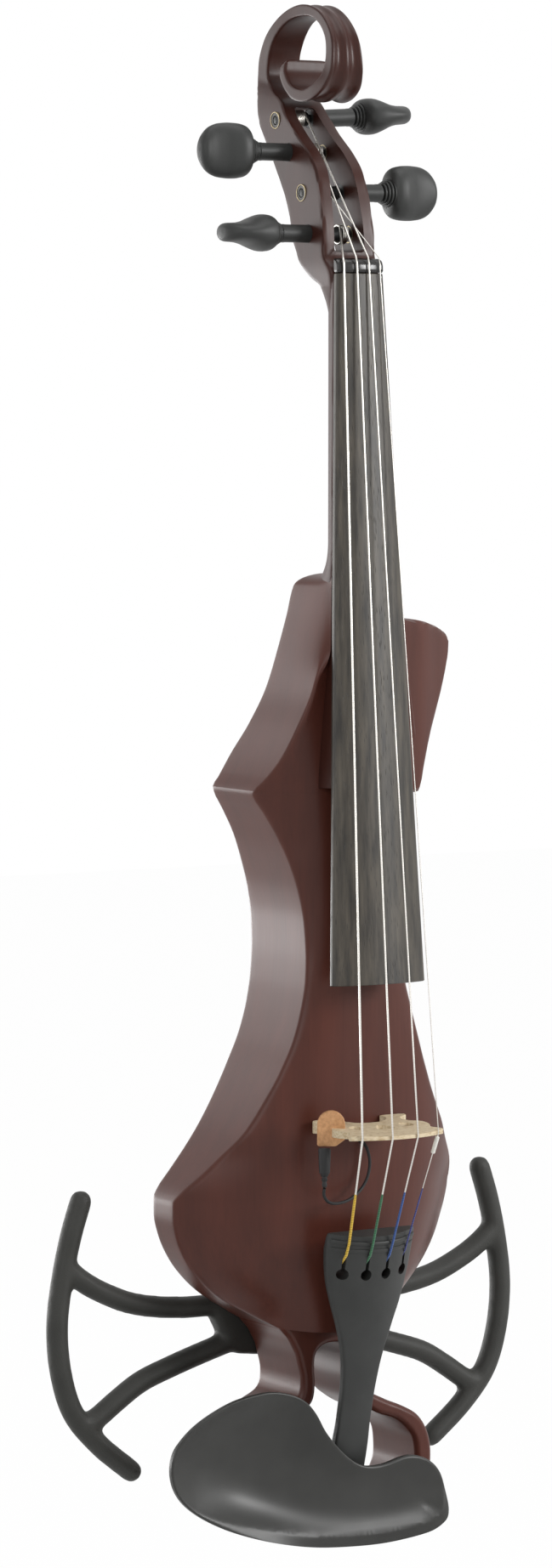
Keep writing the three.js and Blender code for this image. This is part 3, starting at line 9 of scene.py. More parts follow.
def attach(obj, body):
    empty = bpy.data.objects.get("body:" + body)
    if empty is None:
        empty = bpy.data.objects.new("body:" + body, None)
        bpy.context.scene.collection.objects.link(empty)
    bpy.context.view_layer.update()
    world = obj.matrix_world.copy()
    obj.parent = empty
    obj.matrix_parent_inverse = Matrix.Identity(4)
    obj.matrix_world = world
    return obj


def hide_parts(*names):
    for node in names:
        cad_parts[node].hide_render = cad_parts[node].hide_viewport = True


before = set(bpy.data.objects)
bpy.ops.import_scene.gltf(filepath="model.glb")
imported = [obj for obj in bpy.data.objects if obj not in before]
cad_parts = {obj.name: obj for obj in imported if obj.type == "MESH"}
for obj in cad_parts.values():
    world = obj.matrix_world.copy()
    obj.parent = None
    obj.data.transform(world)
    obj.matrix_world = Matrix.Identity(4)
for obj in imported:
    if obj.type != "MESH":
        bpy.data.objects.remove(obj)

bl_info = {
    "name": "Electric violin",
    "version": (1, 0, 0),
    "blender": (4, 5, 0),
    "location": "3D View > Sidebar > Violin",
    "description": "Dresses a packed electric violin with finished pieces, surfaces and a plain studio",
    "category": "Object",
}

MM = 0.001  # the values below are millimetres, meshes are metres
ROOT = "instrument"
SIDES = ((-1, "bass"), (1, "treble"))

# Fits
GAP = 0.3
OVERRUN = 3
AXIS_RADIUS = 0.01  # of a turned piece's end on its own axis

# Body
RIDGE_FORWARD = 5.6
BODY_DEPTH = 48
BODY_TOP = 114
BODY_LENGTH = 295
LOWER_HALF_WIDTH = 63.6
BELLY_CURVE = 2.6
RIDGE_PLANE = -RIDGE_FORWARD
BACK_PLANE = BODY_DEPTH - RIDGE_FORWARD
BODY_END = BODY_TOP + BODY_LENGTH
BOUT_DOWN = BODY_TOP + 0.8 * BODY_LENGTH
TOP_ROUND = 5
SECTION_STEP = 2.4
# Along the body, left and right half width, depth at the edge, depth at the ridge, back cut away
BODY_ROW_SHARES = [
    (0, 0.197, 0.197, 1, 1, 0.562), (0.007, 0.225, 0.225, 1, 1, 0.51), (0.017, 0.239, 0.239, 1, 1, 0.469),
    (0.054, 0.266, 0.266, 1.01, 1, 0.427), (0.105, 0.31, 0.31, 1.073, 1, 0.367),
    (0.149, 0.344, 0.354, 1.033, 0.979, 0.288), (0.197, 0.421, 0.421, 0.967, 0.979, 0.192),
    (0.241, 0.497, 0.487, 0.865, 0.979, 0.054), (0.268, 0.555, 0.516, 0.74, 0.99, 0.01),
    (0.28, 0.588, 0.522, 0.677, 1, 0), (0.286, 0.582, 0.516, 0.656, 1, 0),
    (0.308, 0.525, 0.484, 0.692, 1, 0), (0.342, 0.443, 0.434, 0.742, 1, 0),
    (0.376, 0.388, 0.396, 0.804, 1, 0), (0.414, 0.34, 0.368, 0.838, 1, 0),
    (0.451, 0.314, 0.355, 0.862, 1, 0), (0.488, 0.307, 0.362, 0.877, 1, 0),
    (0.529, 0.318, 0.393, 0.892, 1, 0), (0.566, 0.346, 0.443, 0.883, 1, 0),
    (0.603, 0.396, 0.494, 0.881, 1, 0), (0.641, 0.475, 0.552, 0.867, 1, 0),
    (0.681, 0.569, 0.635, 0.817, 1, 0), (0.722, 0.682, 0.736, 0.754, 1, 0),
    (0.753, 0.786, 0.833, 0.625, 1, 0), (0.78, 0.888, 0.912, 0.525, 0.996, 0),
    (0.805, 0.981, 0.965, 0.406, 0.983, 0), (0.815, 1, 0.976, 0.365, 0.979, 0),
    (0.837, 0.998, 0.959, 0.362, 0.967, 0), (0.866, 0.965, 0.925, 0.346, 0.938, 0),
    (0.897, 0.893, 0.865, 0.346, 0.904, 0), (0.928, 0.774, 0.764, 0.354, 0.865, 0),
    (0.949, 0.657, 0.657, 0.385, 0.845, 0), (0.966, 0.53, 0.53, 0.5, 0.83, 0),
    (0.976, 0.455, 0.455, 0.6, 0.82, 0), (0.983, 0.4, 0.4, 0.66, 0.81, 0),
]
BODY_FOOT = 0.983  # where the front's lower edge steps back to the leg
FOOT_SAG = 2.6
HEEL_END = 0.125  # down to here the walls run into the neck without an edge
HEEL_FADE_SHARES = (HEEL_END - 0.035, HEEL_END + 0.01)
HEEL_WALL_START = 3
HEEL_PULL_SHARE = 0.35
HEEL_PULL_RISE = 3.5
HEEL_EDGE_RISE = 0.4
FRONT_TURN = 1.3  # where the front's rounding starts, in roundings from the wall
FRONT_STEPS = 16
FRONT_SPREAD = 1.15
FOOT_START = 0.95
CORNER_STEPS = 5
TOP_STEPS = 7

# Treble shoulder beside the neck: upper and lower outline, front and back section
HORN_REACH = 49.3
HORN_TOP = 131
HORN_LENGTH = 68
HORN_ROUND = 1.5
HORN_START_SHARE = 0.16
HORN_STATIONS = 44
HORN_MIN_DEPTH = 2
HORN_UPPER_SHARES = [
    (0.16, 0), (0.203, 0), (0.406, 0.003), (0.609, 0.018), (0.824, 0.054), (0.927, 0.084), (0.982, 0.109),
    (1.0, 0.147),
]
HORN_LOWER_SHARES = [
    (0.16, 0.85), (0.203, 0.868), (0.406, 1.0), (0.615, 0.993), (0.675, 0.853), (0.75, 0.696),
    (0.835, 0.556), (0.915, 0.422), (0.97, 0.307), (0.996, 0.221), (1.0, 0.16),
]
HORN_FRONT_SHARES = [(0.16, 1.0), (0.36, 0.985), (0.6, 0.92), (0.85, 0.8), (1.05, 0.7)]
HORN_BACK_SHARES = [(0.16, 0.0), (0.3, 0.0), (0.6, 0.12), (0.85, 0.26), (1.05, 0.42)]

# Tail loop
LOOP_HALF_WIDTH = 45.2
LOOP_TOP = BODY_END - 9
LOOP_LENGTH = 83.5
LOOP_BOTTOM = LOOP_TOP + LOOP_LENGTH
LOOP_FRONT = BACK_PLANE - 33.2
LOOP_ROUND = 2.4
LOOP_OUTER_SHARES = [
    (0.56, -0.02), (0.56, 0.03), (0.548, 0.052), (0.515, 0.072), (0.467, 0.1), (0.431, 0.132),
    (0.387, 0.177), (0.361, 0.226), (0.331, 0.3), (0.358, 0.38), (0.52, 0.432), (0.71, 0.476),
    (0.854, 0.521), (0.947, 0.587), (0.991, 0.659), (1.0, 0.737), (0.978, 0.826), (0.898, 0.91),
    (0.741, 0.968), (0.487, 0.992), (0.0, 1.0),
]
LOOP_INNER_SHARES = [
    (0.0, 0.14), (0.08, 0.144), (0.15, 0.162), (0.188, 0.194), (0.197, 0.25), (0.19, 0.335), (0.218, 0.408),
    (0.325, 0.458), (0.444, 0.496), (0.626, 0.531), (0.739, 0.577), (0.812, 0.628), (0.836, 0.705),
    (0.83, 0.778), (0.765, 0.846), (0.631, 0.881), (0.398, 0.898), (0.0, 0.908),
]

# Neck, fingerboard and nut
NECK_PITCH = math.radians(3.33)
GLUE_FORWARD = 1.5
BOARD_LENGTH = 270
BOARD_NUT_WIDTH = 20.7
BOARD_END_WIDTH = 41.7
BOARD_EDGE = 3
BOARD_RADIUS = 42
BOARD_ROUND = 0.5
BOARD_END_EASE = 0.35
NECK_DEPTH = 11.2
NECK_INSET = 0.4
HEEL_FLARE = 11
HEEL_LENGTH = 16
HEEL_POWER = 2.6
NECK_SQUARENESS = 0.92
NECK_BLOCK_END = 195
NUT_LENGTH = 5.5
NUT_RISE = 0.3
NUT_FALL_SHARE = 0.45  # from here its top rounds down to the pegbox
NOTCH_DEPTH = 0.21
NOTCH_WIDTH = 0.6
STRING_ORDERS = (-1.5, -0.5, 0.5, 1.5)  # across, in gaps from the centre line

# Head: outer and inner edge of the side view and half width, from the neck round the ring to the curl's tip
HEAD_DEPTH = 57.6
HEAD_TOP = 102.8
HEAD_HALF_WIDTH = 12
CHEEK_WALL = 4.9
PEGBOX_FLOOR = 8
PEGBOX_ROOF = 64
FLUTE_DEPTH = 1.25
FLUTE_EDGE_SHARE = 0.1  # flat beside the middle rib
FLUTE_END_SHARE = 0.84
FLUTE_ROWS = (8, 13)  # rows of the table over which the flutes deepen
OWN_WIDTH_ROWS = (11, 14)  # and over which the table's own width takes over
HEAD_ROUND = 0.5
NECK_JOIN_ROUND = 2.2  # more than that where the head meets the neck
NECK_JOIN_ROWS = 6.7
CURL_END_STEPS = 5  # the curl thins over its last sections
CURL_END_SHARE = 0.88
CURL_END_REACH = 1.2
HEAD_STEPS = 6
HEAD_PAIR_SHARES = [
    (0.05, -0.19, -0.03, -0.19, 0.86), (0.08, -0.125, -0.03, -0.12, 0.86),
    (0.12, -0.08, -0.026, -0.075, 0.86), (0.16, -0.045, -0.024, -0.045, 0.87),
    (0.255, -0.014, -0.02, 0.01, 0.92), (0.365, 0.042, 0.045, 0.062, 0.98),
    (0.405, 0.085, 0.056, 0.12, 0.98), (0.45, 0.143, 0.068, 0.179, 0.96), (0.54, 0.276, 0.113, 0.286, 0.93),
    (0.62, 0.337, 0.168, 0.375, 0.89), (0.707, 0.403, 0.271, 0.444, 0.86),
    (0.86, 0.52, 0.416, 0.508, 0.845), (0.93, 0.59, 0.566, 0.584, 0.83), (0.965, 0.66, 0.663, 0.646, 0.76),
    (0.985, 0.7, 0.785, 0.684, 0.7), (1.002, 0.733, 0.842, 0.714, 0.64), (1.002, 0.765, 0.878, 0.75, 0.625),
    (0.991, 0.817, 0.868, 0.817, 0.61), (0.922, 0.89, 0.82, 0.871, 0.6), (0.784, 0.955, 0.737, 0.918, 0.56),
    (0.627, 0.992, 0.635, 0.947, 0.51), (0.473, 1.0, 0.499, 0.957, 0.48),
    (0.333, 0.981, 0.383, 0.949, 0.465), (0.213, 0.939, 0.283, 0.918, 0.475),
    (0.123, 0.877, 0.205, 0.866, 0.51), (0.09, 0.812, 0.18, 0.802, 0.56),
    (0.093, 0.744, 0.188, 0.755, 0.62), (0.146, 0.689, 0.207, 0.725, 0.71), (0.255, 0.65, 0.265, 0.7, 0.78),
    (0.39, 0.636, 0.367, 0.683, 0.815), (0.507, 0.65, 0.452, 0.688, 0.84),
    (0.583, 0.683, 0.522, 0.708, 0.865), (0.635, 0.728, 0.571, 0.748, 0.885),
    (0.65, 0.776, 0.583, 0.792, 0.9),
]
HEAD_WIDTH_SHARES = [
    (-0.05, 0.86), (0.06, 0.985), (0.179, 0.958), (0.286, 0.925), (0.37, 0.883), (0.457, 0.85),
    (0.52, 0.845), (0.59, 0.83), (0.648, 0.77), (0.7, 0.68), (0.75, 0.525), (0.8, 0.517), (1.01, 0.517),
]

# Pegs: head side, axis behind and above the origin, rise of the axis to the treble side, thin side up
PEGS = {
    "peg_g": (-1, 14.6, 15.1, 0.0, True),
    "peg_d": (-1, 31.0, 46.5, 0.0, False),
    "peg_a": (1, 40.4, 59.6, 3.5, True),
    "peg_e": (1, 19.9, 30.9, 0.9, False),
}
CASING_RADIUS = 3.5
CASING_REACH = 24.5
SHAFT_RADIUS = 1.5
SPOOL_RADIUS = 2.75
SPOOL_PLAY = 1.2  # from the cheeks, which narrow upward past the spool's flat ends
BUSH_RADIUS = 3.2
BUSH_INSET = 0.4
BORE_PLAY = 0.06
PLUG_SINK = 0.25
PEG_SQUARENESS = 0.92
WINDING_STEPS = 36
PEG_HEAD_LENGTH = 25.3
PEG_HALF_HEIGHT = 10.6
PEG_HALF_THICKNESS = 7
PEG_ROW_SHARES = [
    (0.12, 0.48, 0.55), (0.14, 0.68, 0.74), (0.18, 0.84, 0.9), (0.24, 0.93, 0.99), (0.33, 0.98, 1.0),
    (0.45, 1.0, 0.86), (0.58, 0.99, 0.66), (0.72, 0.94, 0.55), (0.84, 0.81, 0.52), (0.93, 0.58, 0.49),
    (0.98, 0.33, 0.33), (1.0, 0.04, 0.06),
]
COLLAR_SHARES = [
    (0.0, 0.33), (0.0, 0.37), (0.008, 0.385), (0.028, 0.385), (0.034, 0.36), (0.042, 0.36), (0.046, 0.43),
    (0.054, 0.445), (0.072, 0.445), (0.078, 0.415), (0.086, 0.415), (0.09, 0.49), (0.098, 0.505),
    (0.116, 0.505), (0.122, 0.47), (0.13, 0.47), (0.134, 0.54), (0.142, 0.555), (0.165, 0.55), (0.19, 0.5),
    (0.2, 0.3),
]

# Tailpiece
TAIL_LENGTH = 106
TAIL_HALF_WIDTH = 19.6
TAIL_FORWARD = 22.9
TAIL_GUT_RUN = 14.26
TAIL_END_LIFT = 8.1
TAIL_PITCH = math.asin((TAIL_FORWARD + LOOP_FRONT - TAIL_END_LIFT) / TAIL_LENGTH)
TAIL_DOWN = LOOP_BOTTOM - TAIL_GUT_RUN - TAIL_LENGTH * math.cos(TAIL_PITCH)
TAIL_ARCH = 30
TAIL_EDGE = 3.4
TAIL_ROUND = 0.6
TAIL_ROW_SHARES = [
    (0.0, 1.0), (0.047, 0.99), (0.113, 0.964), (0.189, 0.898), (0.264, 0.786), (0.354, 0.622),
    (0.439, 0.49), (0.528, 0.408), (0.623, 0.372), (0.717, 0.367), (0.821, 0.388), (0.906, 0.378),
    (0.972, 0.286), (1.0, 0.179),
]
FRET_DOWN = 2.6
FRET_RISE = 0.9
FRET_WIDTH = 1.6
KEYHOLE_DOWN = 15.6
KEYHOLE_RADIUS = 2.2
SLOT_DOWN = 7.5
SLOT_WIDTH = 1.3
BAR_STEPS = 6
BAR_SINK = 0.4
GUT_RADIUS = 0.9
GUT_HALF_SPREAD = 4.4
SADDLE_HALF_WIDTH = 12
SADDLE_RISE = 4.2
SADDLE_LENGTH = 6.4
BUTTON_BACK = BACK_PLANE - 16.4
BUTTON_NECK_RADIUS = 3.4
BUTTON_HEAD_RADIUS = 6
BUTTON_HEAD_THICKNESS = 2.4

# Strings, from bass to treble: radius, peg, turns, place from the centre line in gaps, silk
STRING_NUT_GAP = 5.45
STRING_BRIDGE_GAP = 11.5
STRING_TAIL_GAP = 9
STRINGS = {
    "string_g": (0.42, "peg_g", 3, STRING_ORDERS[0], "silk_yellow"),
    "string_d": (0.38, "peg_d", 3, STRING_ORDERS[1], "silk_green"),
    "string_a": (0.34, "peg_a", 6, STRING_ORDERS[2], "silk_blue"),
    "string_e": (0.2, "peg_e", 4, STRING_ORDERS[3], "silk_violet"),
}
WINDING_GAP = 0.12
SILK_SHARE = 0.52  # of the run from bridge to tailpiece, where the coloured silk starts
SILK_THICKNESS = 0.12
SLEEVE_RADIUS = 0.85
SLEEVE_LENGTH = 7

# Bridge
AFTER_LENGTH = 40
BRIDGE_DOWN = TAIL_DOWN - AFTER_LENGTH
BRIDGE_CROWN_FORWARD = 38.6
CROWN_RADIUS = 42
BRIDGE_HEIGHT = BRIDGE_CROWN_FORWARD + RIDGE_PLANE
BRIDGE_HALF_WIDTH = 21.2
BRIDGE_FOOT_THICKNESS = 4.8
BRIDGE_CROWN_THICKNESS = 1.4
BRIDGE_LEAN = 1.5  # how much higher its feet stand than its crown
BRIDGE_OUTLINE_SHARES = [
    (0.0, 0.288), (0.236, 0.267), (0.425, 0.167), (0.495, 0.061), (0.448, 0.0), (0.981, 0.0),
    (0.986, 0.048), (0.778, 0.127), (0.717, 0.227), (0.764, 0.318), (0.958, 0.394), (0.986, 0.515),
    (0.925, 0.621), (0.868, 0.682), (0.972, 0.773), (1.0, 0.825), (0.896, 0.861), (0.814, 0.885),
    (0.566, 0.946), (0.283, 0.987), (0.0, 1.0),
]
BRIDGE_HEART_SHARES = [(0.0, 0.42), (0.09, 0.47), (0.16, 0.54), (0.17, 0.61), (0.1, 0.65), (0.0, 0.61)]
BRIDGE_KIDNEY_SHARES = [
    (0.42, 0.44), (0.5, 0.4), (0.62, 0.42), (0.66, 0.5), (0.6, 0.58), (0.48, 0.58), (0.41, 0.52),
]

# Pickup and its cable
PICKUP_RADIUS = 5.3
PICKUP_THICKNESS = 3
PICKUP_PLACE = (-19.8, -17.6, -(BRIDGE_DOWN - 3.8))
PICKUP_TURN = math.radians(32)
PICKUP_DROP = 8.2  # from the round top's middle down to the square end
RELIEF_TOP = (-23.6, -19.0, -(BRIDGE_DOWN + 4.9))
RELIEF_SHARES = [0, 0.03, 0.1, 0.12, 0.15, 0.17, 0.22, 0.24, 0.27, 0.29, 0.33, 0.38, 0.7, 0.97, 1.0]
RELIEF_RADII = [0.7, 0.9, 1.0, 0.85, 0.85, 1.1, 1.2, 1.0, 1.0, 1.35, 1.5, 2.05, 2.3, 2.4, 2.1]
CABLE_RADIUS = 0.6
CAVITY_FLOOR = BACK_PLANE - 24.4
CABLE_HOLE = (1, BRIDGE_DOWN + 5.2)
# The cable's route in front of the body: across, behind the origin, over the bridge's middle
CABLE_FRONT_ROUTE = [
    (-25.1, -21.4, -19.8), (-24.9, -20.6, -21.4), (-24.0, -19.6, -23.2), (-21.9, -18.2, -25.2),
    (-18.6, -16.6, -26.6), (-14.4, -14.8, -27.1), (-9.8, -13.2, -26.8), (-5.4, -11.8, -25.4),
    (-1.6, -10.8, -23.0), (1.1, -10.2, -19.8), (2.5, -9.9, -16.2), (2.8, -9.8, -12.8), (2.3, -9.6, -9.6),
    (1.6, -8.8, -7.0), (1.1, -7.0, -5.6),
]
# Through its hole: across, behind the cavity's floor, over the hole's middle
CABLE_HOLE_ROUTE = [(1, -22.4, 0), (1, -18, 0), (1, -10, 0), (1, -3, 0), (1, 0.2, 0), (0.8, 1.7, -1)]
# In the cavity to the circuit board: across, behind the cavity's floor, over the board's upper edge
CABLE_BACK_ROUTE = [
    (0.3, 2.5, 9.2), (-0.3, 2.8, 6), (-1.1, 4.0, 2.8), (-2.0, 6.4, -0.2), (-2.6, 9.2, -2.4),
    (-2.7, 12.2, -3.3),
]
CIRCUIT_TOP = BOUT_DOWN - 6

# Chin rest
CHIN_HALF_WIDTH = 84
CHIN_TOP = LOOP_BOTTOM - 58.5
CHIN_HEIGHT = 63
CHIN_RIM = 17.8 - LOOP_FRONT
CHIN_LIP = 4.6
CHIN_CUP_DEPTH = 8.4
CHIN_WALL = 3.4
CHIN_EDGE_ROUND = 1.3
CHIN_LIP_ROUND = 5
CHIN_LIP_REACH = 15
CHIN_LIP_SHARES = (0.66, 0.93)  # down the plate, where the rim turns into the lip
CHIN_UNDER_ROUND = 1.1
CHIN_CUP_SHARE = 0.85  # of the way from edge to spine, where the cup is deepest
CHIN_INSETS = (0.05, 0.2, 0.45, 0.8, 1.25, 1.8, 2.5, 3.3, 4.3)
CHIN_GRID = 1.7
CHIN_GRID_START = 5.2
CHIN_OUTLINE_SHARES = [
    (-0.553, 0.001), (-0.666, 0.027), (-0.787, 0.089), (-0.876, 0.155), (-0.939, 0.224), (-0.983, 0.295),
    (-1.0, 0.369), (-1.0, 0.445), (-0.983, 0.526), (-0.942, 0.609), (-0.862, 0.698), (-0.741, 0.788),
    (-0.614, 0.855), (-0.433, 0.925), (-0.25, 0.972), (-0.065, 0.994), (0.121, 1.0), (0.308, 0.98),
    (0.397, 0.958), (0.444, 0.928), (0.477, 0.89), (0.486, 0.828), (0.476, 0.741), (0.451, 0.623),
    (0.414, 0.555), (0.357, 0.505), (0.282, 0.48), (0.226, 0.487), (0.133, 0.516), (0.032, 0.513),
    (-0.033, 0.473), (-0.106, 0.39), (-0.179, 0.278), (-0.234, 0.156), (-0.289, 0.076), (-0.363, 0.025),
    (-0.472, -0.005),
]
CHIN_SPINE_SHARES = [(-0.56, 0.46), (0.3, 0.74)]
FOOT_INNER = 15
FOOT_WIDTH = 15
FOOT_LENGTH = 5.4
PAD_THICKNESS = 1.2
CLAMP_ACROSS = 19
POST_RADIUS = 1.5
BARREL_RADIUS = 2.7
BARREL_LENGTH = 18
BARREL_HOLE_RADIUS = 0.7
BRACKET_THICKNESS = 2
BRACKET_HALF_WIDTH = 23
BRACKET_HOOK = 9
CLAMP_DOWN = -LOOP_BOTTOM - GAP - BARREL_RADIUS
CLAMP_MIDDLE = (LOOP_FRONT + BACK_PLANE) / 2

# Wings
WING_RADIUS = 4.4
WING_SPAN = 102.4
WING_TOP = BOUT_DOWN + 6.5
WING_HEIGHT = 104.8
WING_GRAIN = 1.1  # of the remeshed skin
WING_PASSES = 12
SMOOTHING = 0.6
WING_ARC_SHARES = [
    (0.899, -0.02), (0.941, 0.105), (0.979, 0.267), (1.0, 0.434), (0.985, 0.603), (0.932, 0.759),
    (0.822, 0.886), (0.679, 1.0),
]
WING_UPPER_SHARES = [
    (0.973, 0.213), (0.889, 0.278), (0.811, 0.322), (0.686, 0.373), (0.536, 0.402), (0.374, 0.411),
    (0.195, 0.4),
]
WING_LOWER_SHARES = [
    (0.898, 0.825), (0.822, 0.785), (0.753, 0.739), (0.64, 0.672), (0.498, 0.624), (0.377, 0.589),
    (0.228, 0.549), (0.098, 0.51),
]
WING_HUB_SHARES = [
    (0.012, 0.386), (0.034, 0.348), (0.293, 0.354), (0.352, 0.406), (0.308, 0.496), (0.234, 0.601),
    (0.034, 0.62), (0.012, 0.587),
]
WING_SCREW_SHARES = [(0.088, 0.47), (0.225, 0.39)]
SCREW_HEAD_RADIUS = 3.6
SCREW_HEAD_THICKNESS = 2
SCREW_SHANK_RADIUS = 1.7
SCREW_LENGTH = 18
HUB_ROUND = 1.6

# Back cover, knobs and sockets
CAVITY_TOP = BOUT_DOWN - 50
CAVITY_BOTTOM = BOUT_DOWN + 33
CAVITY_TOP_HALF_WIDTH = 20
CAVITY_HALF_WIDTH = 40
CAVITY_SHOULDER = BOUT_DOWN - 12
COVER_THICKNESS = 2.5
COVER_RIM = 3.6
COVER_SCREW_RADIUS = 1.3
COVER_HEAD_RADIUS = 2.6
COVER_HEAD_THICKNESS = 1.1
COVER_SCREW_LENGTH = 9
COVER_BOSS = 6
KNOB_RADIUS = 7
KNOB_RISE = 6
KNOB_ACROSS = -24
KNOB_FLUTES = 14
KNOB_FLUTE_DEPTH = 0.055
KNOB_ROW_SHARES = [(0, 0.97), (0.08, 1.0), (0.72, 0.97), (0.86, 0.93), (0.95, 0.84), (1.0, 0.7), (1.0, 0.3)]
KNOBS = {"volume_knob": ("volume", BOUT_DOWN + 3), "tone_knob": ("tone", BOUT_DOWN + 21)}
SHAFT_HOLE_RADIUS = 3
SOCKET_BACK = BACK_PLANE - 8.5
# Along the body, radius, length, flange's radius, bore
SOCKETS = {"output_socket": (0.927, 5.5, 24, 7.2, 3.2), "headphone_socket": (0.879, 3.2, 13, 4.4, 1.75)}
FLANGE_THICKNESS = 1.4

# The camera stands where the photograph was taken from
CAMERA_PLACE = (-1143.7, -1773.5, -38.1)
CAMERA_AIM = (0.52898, 0.84541, -0.07395)
CAMERA_ROLL = math.radians(0.205)
CAMERA_LENS = 127.02
CAMERA_SENSOR = 36
CAMERA_CLIP = (0.1, 50)  # metres

# Studio: lamps with place, side and power, all aimed at the middle of the violin
FLOOR_DOWN = 640
FLOOR_HALF = 4000
FLOOR_WHITE = 0.985  # of what the camera sees of it; the rest is paint, which takes the shadow
SURROUND_LIGHT = 0.2
LAMP_AIM = (0, 0, -200)
LAMPS = {
    "key": ((1500, -1700, 520), 700, 36),
    "fill": ((-1900, -1300, 600), 1500, 13),
    "rim": ((-1100, 1600, -450), 1900, 26),
    "low": ((-450, 1550, -950), 1300, 40),
    "top": ((200, -300, 2000), 1400, 14),
}

# Patterns
BAND_WAVE = math.pi / 10  # scale at which a wave texture's bands lie one unit apart
WOUND_PITCH = 0.98696
SILK_PITCH = 0.69087
WOOD_IOR = 1.34
WAXY_IOR = 1.45
MOULDED_IOR = 1.42


def setting(group, name):
    """A size or colour that the user can change, in millimetres if it is a length."""
    value = getattr(getattr(bpy.context.scene, group), name)
    return value if hasattr(value, "__len__") else value / MM


# Curves and outlines
def through(points, steps, closed=False):
    """Points on a smooth curve through the given ones."""
    given = np.asarray(points, float)
    if closed:
        ends = np.vstack([given[-1:], given, given[:2]])
        spans = len(given)
    else:
        ends = np.vstack([2 * given[0] - given[1], given, 2 * given[-1] - given[-2]])
        spans = len(given) - 1
    spacing = np.sqrt(np.linalg.norm(np.diff(ends, axis=0), axis=1)) + 1e-9
    knots = np.concatenate([[0.0], np.cumsum(spacing)])
    made = []
    for i in range(spans):
        a, b, c, d = ends[i : i + 4]
        t0, t1, t2, t3 = knots[i : i + 4]
        for s in range(steps):
            t = t1 + (t2 - t1) * s / steps
            ab = a * (t1 - t) / (t1 - t0) + b * (t - t0) / (t1 - t0)
            bc = b * (t2 - t) / (t2 - t1) + c * (t - t1) / (t2 - t1)
            cd = c * (t3 - t) / (t3 - t2) + d * (t - t2) / (t3 - t2)
            abc = ab * (t2 - t) / (t2 - t0) + bc * (t - t0) / (t2 - t0)
            bcd = bc * (t3 - t) / (t3 - t1) + cd * (t - t1) / (t3 - t1)
            made.append(abc * (t2 - t) / (t2 - t1) + bcd * (t - t1) / (t2 - t1))
    if not closed:
        made.append(given[-1])
    return np.array(made)


def eased(pairs, at):
    """Values on a curve through (place, value) pairs that keeps each given peak and corner where it is."""
    xs, ys = np.asarray(pairs, float).T
    at = np.clip(np.asarray(at, float), xs[0], xs[-1])
    step = np.diff(xs)
    slope = np.diff(ys) / step
    lean = np.zeros(len(xs))
    lean[0], lean[-1] = slope[0], slope[-1]
    for i in range(1, len(xs) - 1):
        if slope[i - 1] * slope[i] > 0:
            wa, wb = 2 * step[i] + step[i - 1], step[i] + 2 * step[i - 1]
            lean[i] = (wa + wb) / (wa / slope[i - 1] + wb / slope[i])
    i = np.clip(np.searchsorted(xs, at) - 1, 0, len(step) - 1)
    t = (at - xs[i]) / step[i]
    low = (1 + 2 * t) * (1 - t) ** 2 * ys[i] + t * (1 - t) ** 2 * step[i] * lean[i]
    return low + t * t * (3 - 2 * t) * ys[i + 1] + t * t * (t - 1) * step[i] * lean[i + 1]


def ramp(value, low, high):
    """0 below low, 1 above high and a smooth rise between."""
    t = np.clip((value - low) / (high - low), 0, 1)
    return t * t * (3 - 2 * t)


def scaled(shares, across, up, start=0.0):
    """Outline shares as millimetres, across and upwards from start."""
    return np.array([(a * across, start + b * up) for a, b in shares])


def mirrored(points):
    """The points and their mirror image over the centre line, as one outline."""
    given = np.asarray(points, float)
    other = given[given[:, 0] > 1e-6][::-1] * (-1, 1)
    return np.vstack([given, other])


def looped(line):
    """The line with its first point again at the end."""
    return np.vstack([line, line[:1]])


def weighed(points, weights):
    """A point between the given ones."""
    return tuple(sum(w * p[i] for w, p in zip(weights, points)) for i in (0, 1))


def softened(points, count, reach):
    """A closed outline drawn again with even steps, its corners rounded over reach millimetres."""
    given = np.asarray(points, float)
    ends = looped(given)
    run = np.concatenate([[0], np.cumsum(np.linalg.norm(np.diff(ends, axis=0), axis=1))])
    at = np.linspace(0, run[-1], count, endpoint=False)
    even = np.column_stack([np.interp(at, run, ends[:, k]) for k in range(given.shape[1])])
    step = run[-1] / count
    side = max(1, round(2 * reach / step))
    offsets = np.arange(-side, side + 1)
    weights = np.exp(-0.5 * (offsets * step / reach) ** 2)
    weights /= weights.sum()
    return sum(w * np.roll(even, -o, axis=0) for w, o in zip(weights, offsets))


def inset(outline, amount):
    """The outline moved inwards by amount, or outwards where it is negative."""
    given = np.asarray(outline, float)
    run = np.roll(given, -1, 0) - np.roll(given, 1, 0)
    run /= np.linalg.norm(run, axis=1)[:, None] + 1e-12
    after = np.roll(given, -1, 0)
    area = np.sum(given[:, 0] * after[:, 1] - after[:, 0] * given[:, 1])
    normals = np.column_stack([run[:, 1], -run[:, 0]]) * np.sign(area)
    return given - normals * amount


def rectangle(x0, x1, z0, z1, corner, steps=5):
    """An outline with round corners."""
    made = []
    for cx, cz, start in ((x1, z1, 0), (x0, z1, 90), (x0, z0, 180), (x1, z0, 270)):
        mx = cx - corner if cx == x1 else cx + corner
        mz = cz - corner if cz == z1 else cz + corner
        for k in range(steps + 1):
            angle = math.radians(start + 90 * k / steps)
            made.append((mx + corner * math.cos(angle), mz + corner * math.sin(angle)))
    return np.array(made)


def circle(x, z, radius, sides=32):
    angles = 2 * math.pi * np.arange(sides) / sides
    return np.column_stack([x + radius * np.cos(angles), z + radius * np.sin(angles)])


# Shapes: vertices in millimetres and faces
def outward(shape):
    """The shape with all its faces looking out."""
    verts, faces = shape
    volume = 0.0
    for face in faces:
        corners = verts[list(face)]
        volume += np.sum(np.cross(corners[1:-1], corners[2:]) @ corners[0])
    return shape if volume > 0 else (verts, [tuple(reversed(face)) for face in faces])


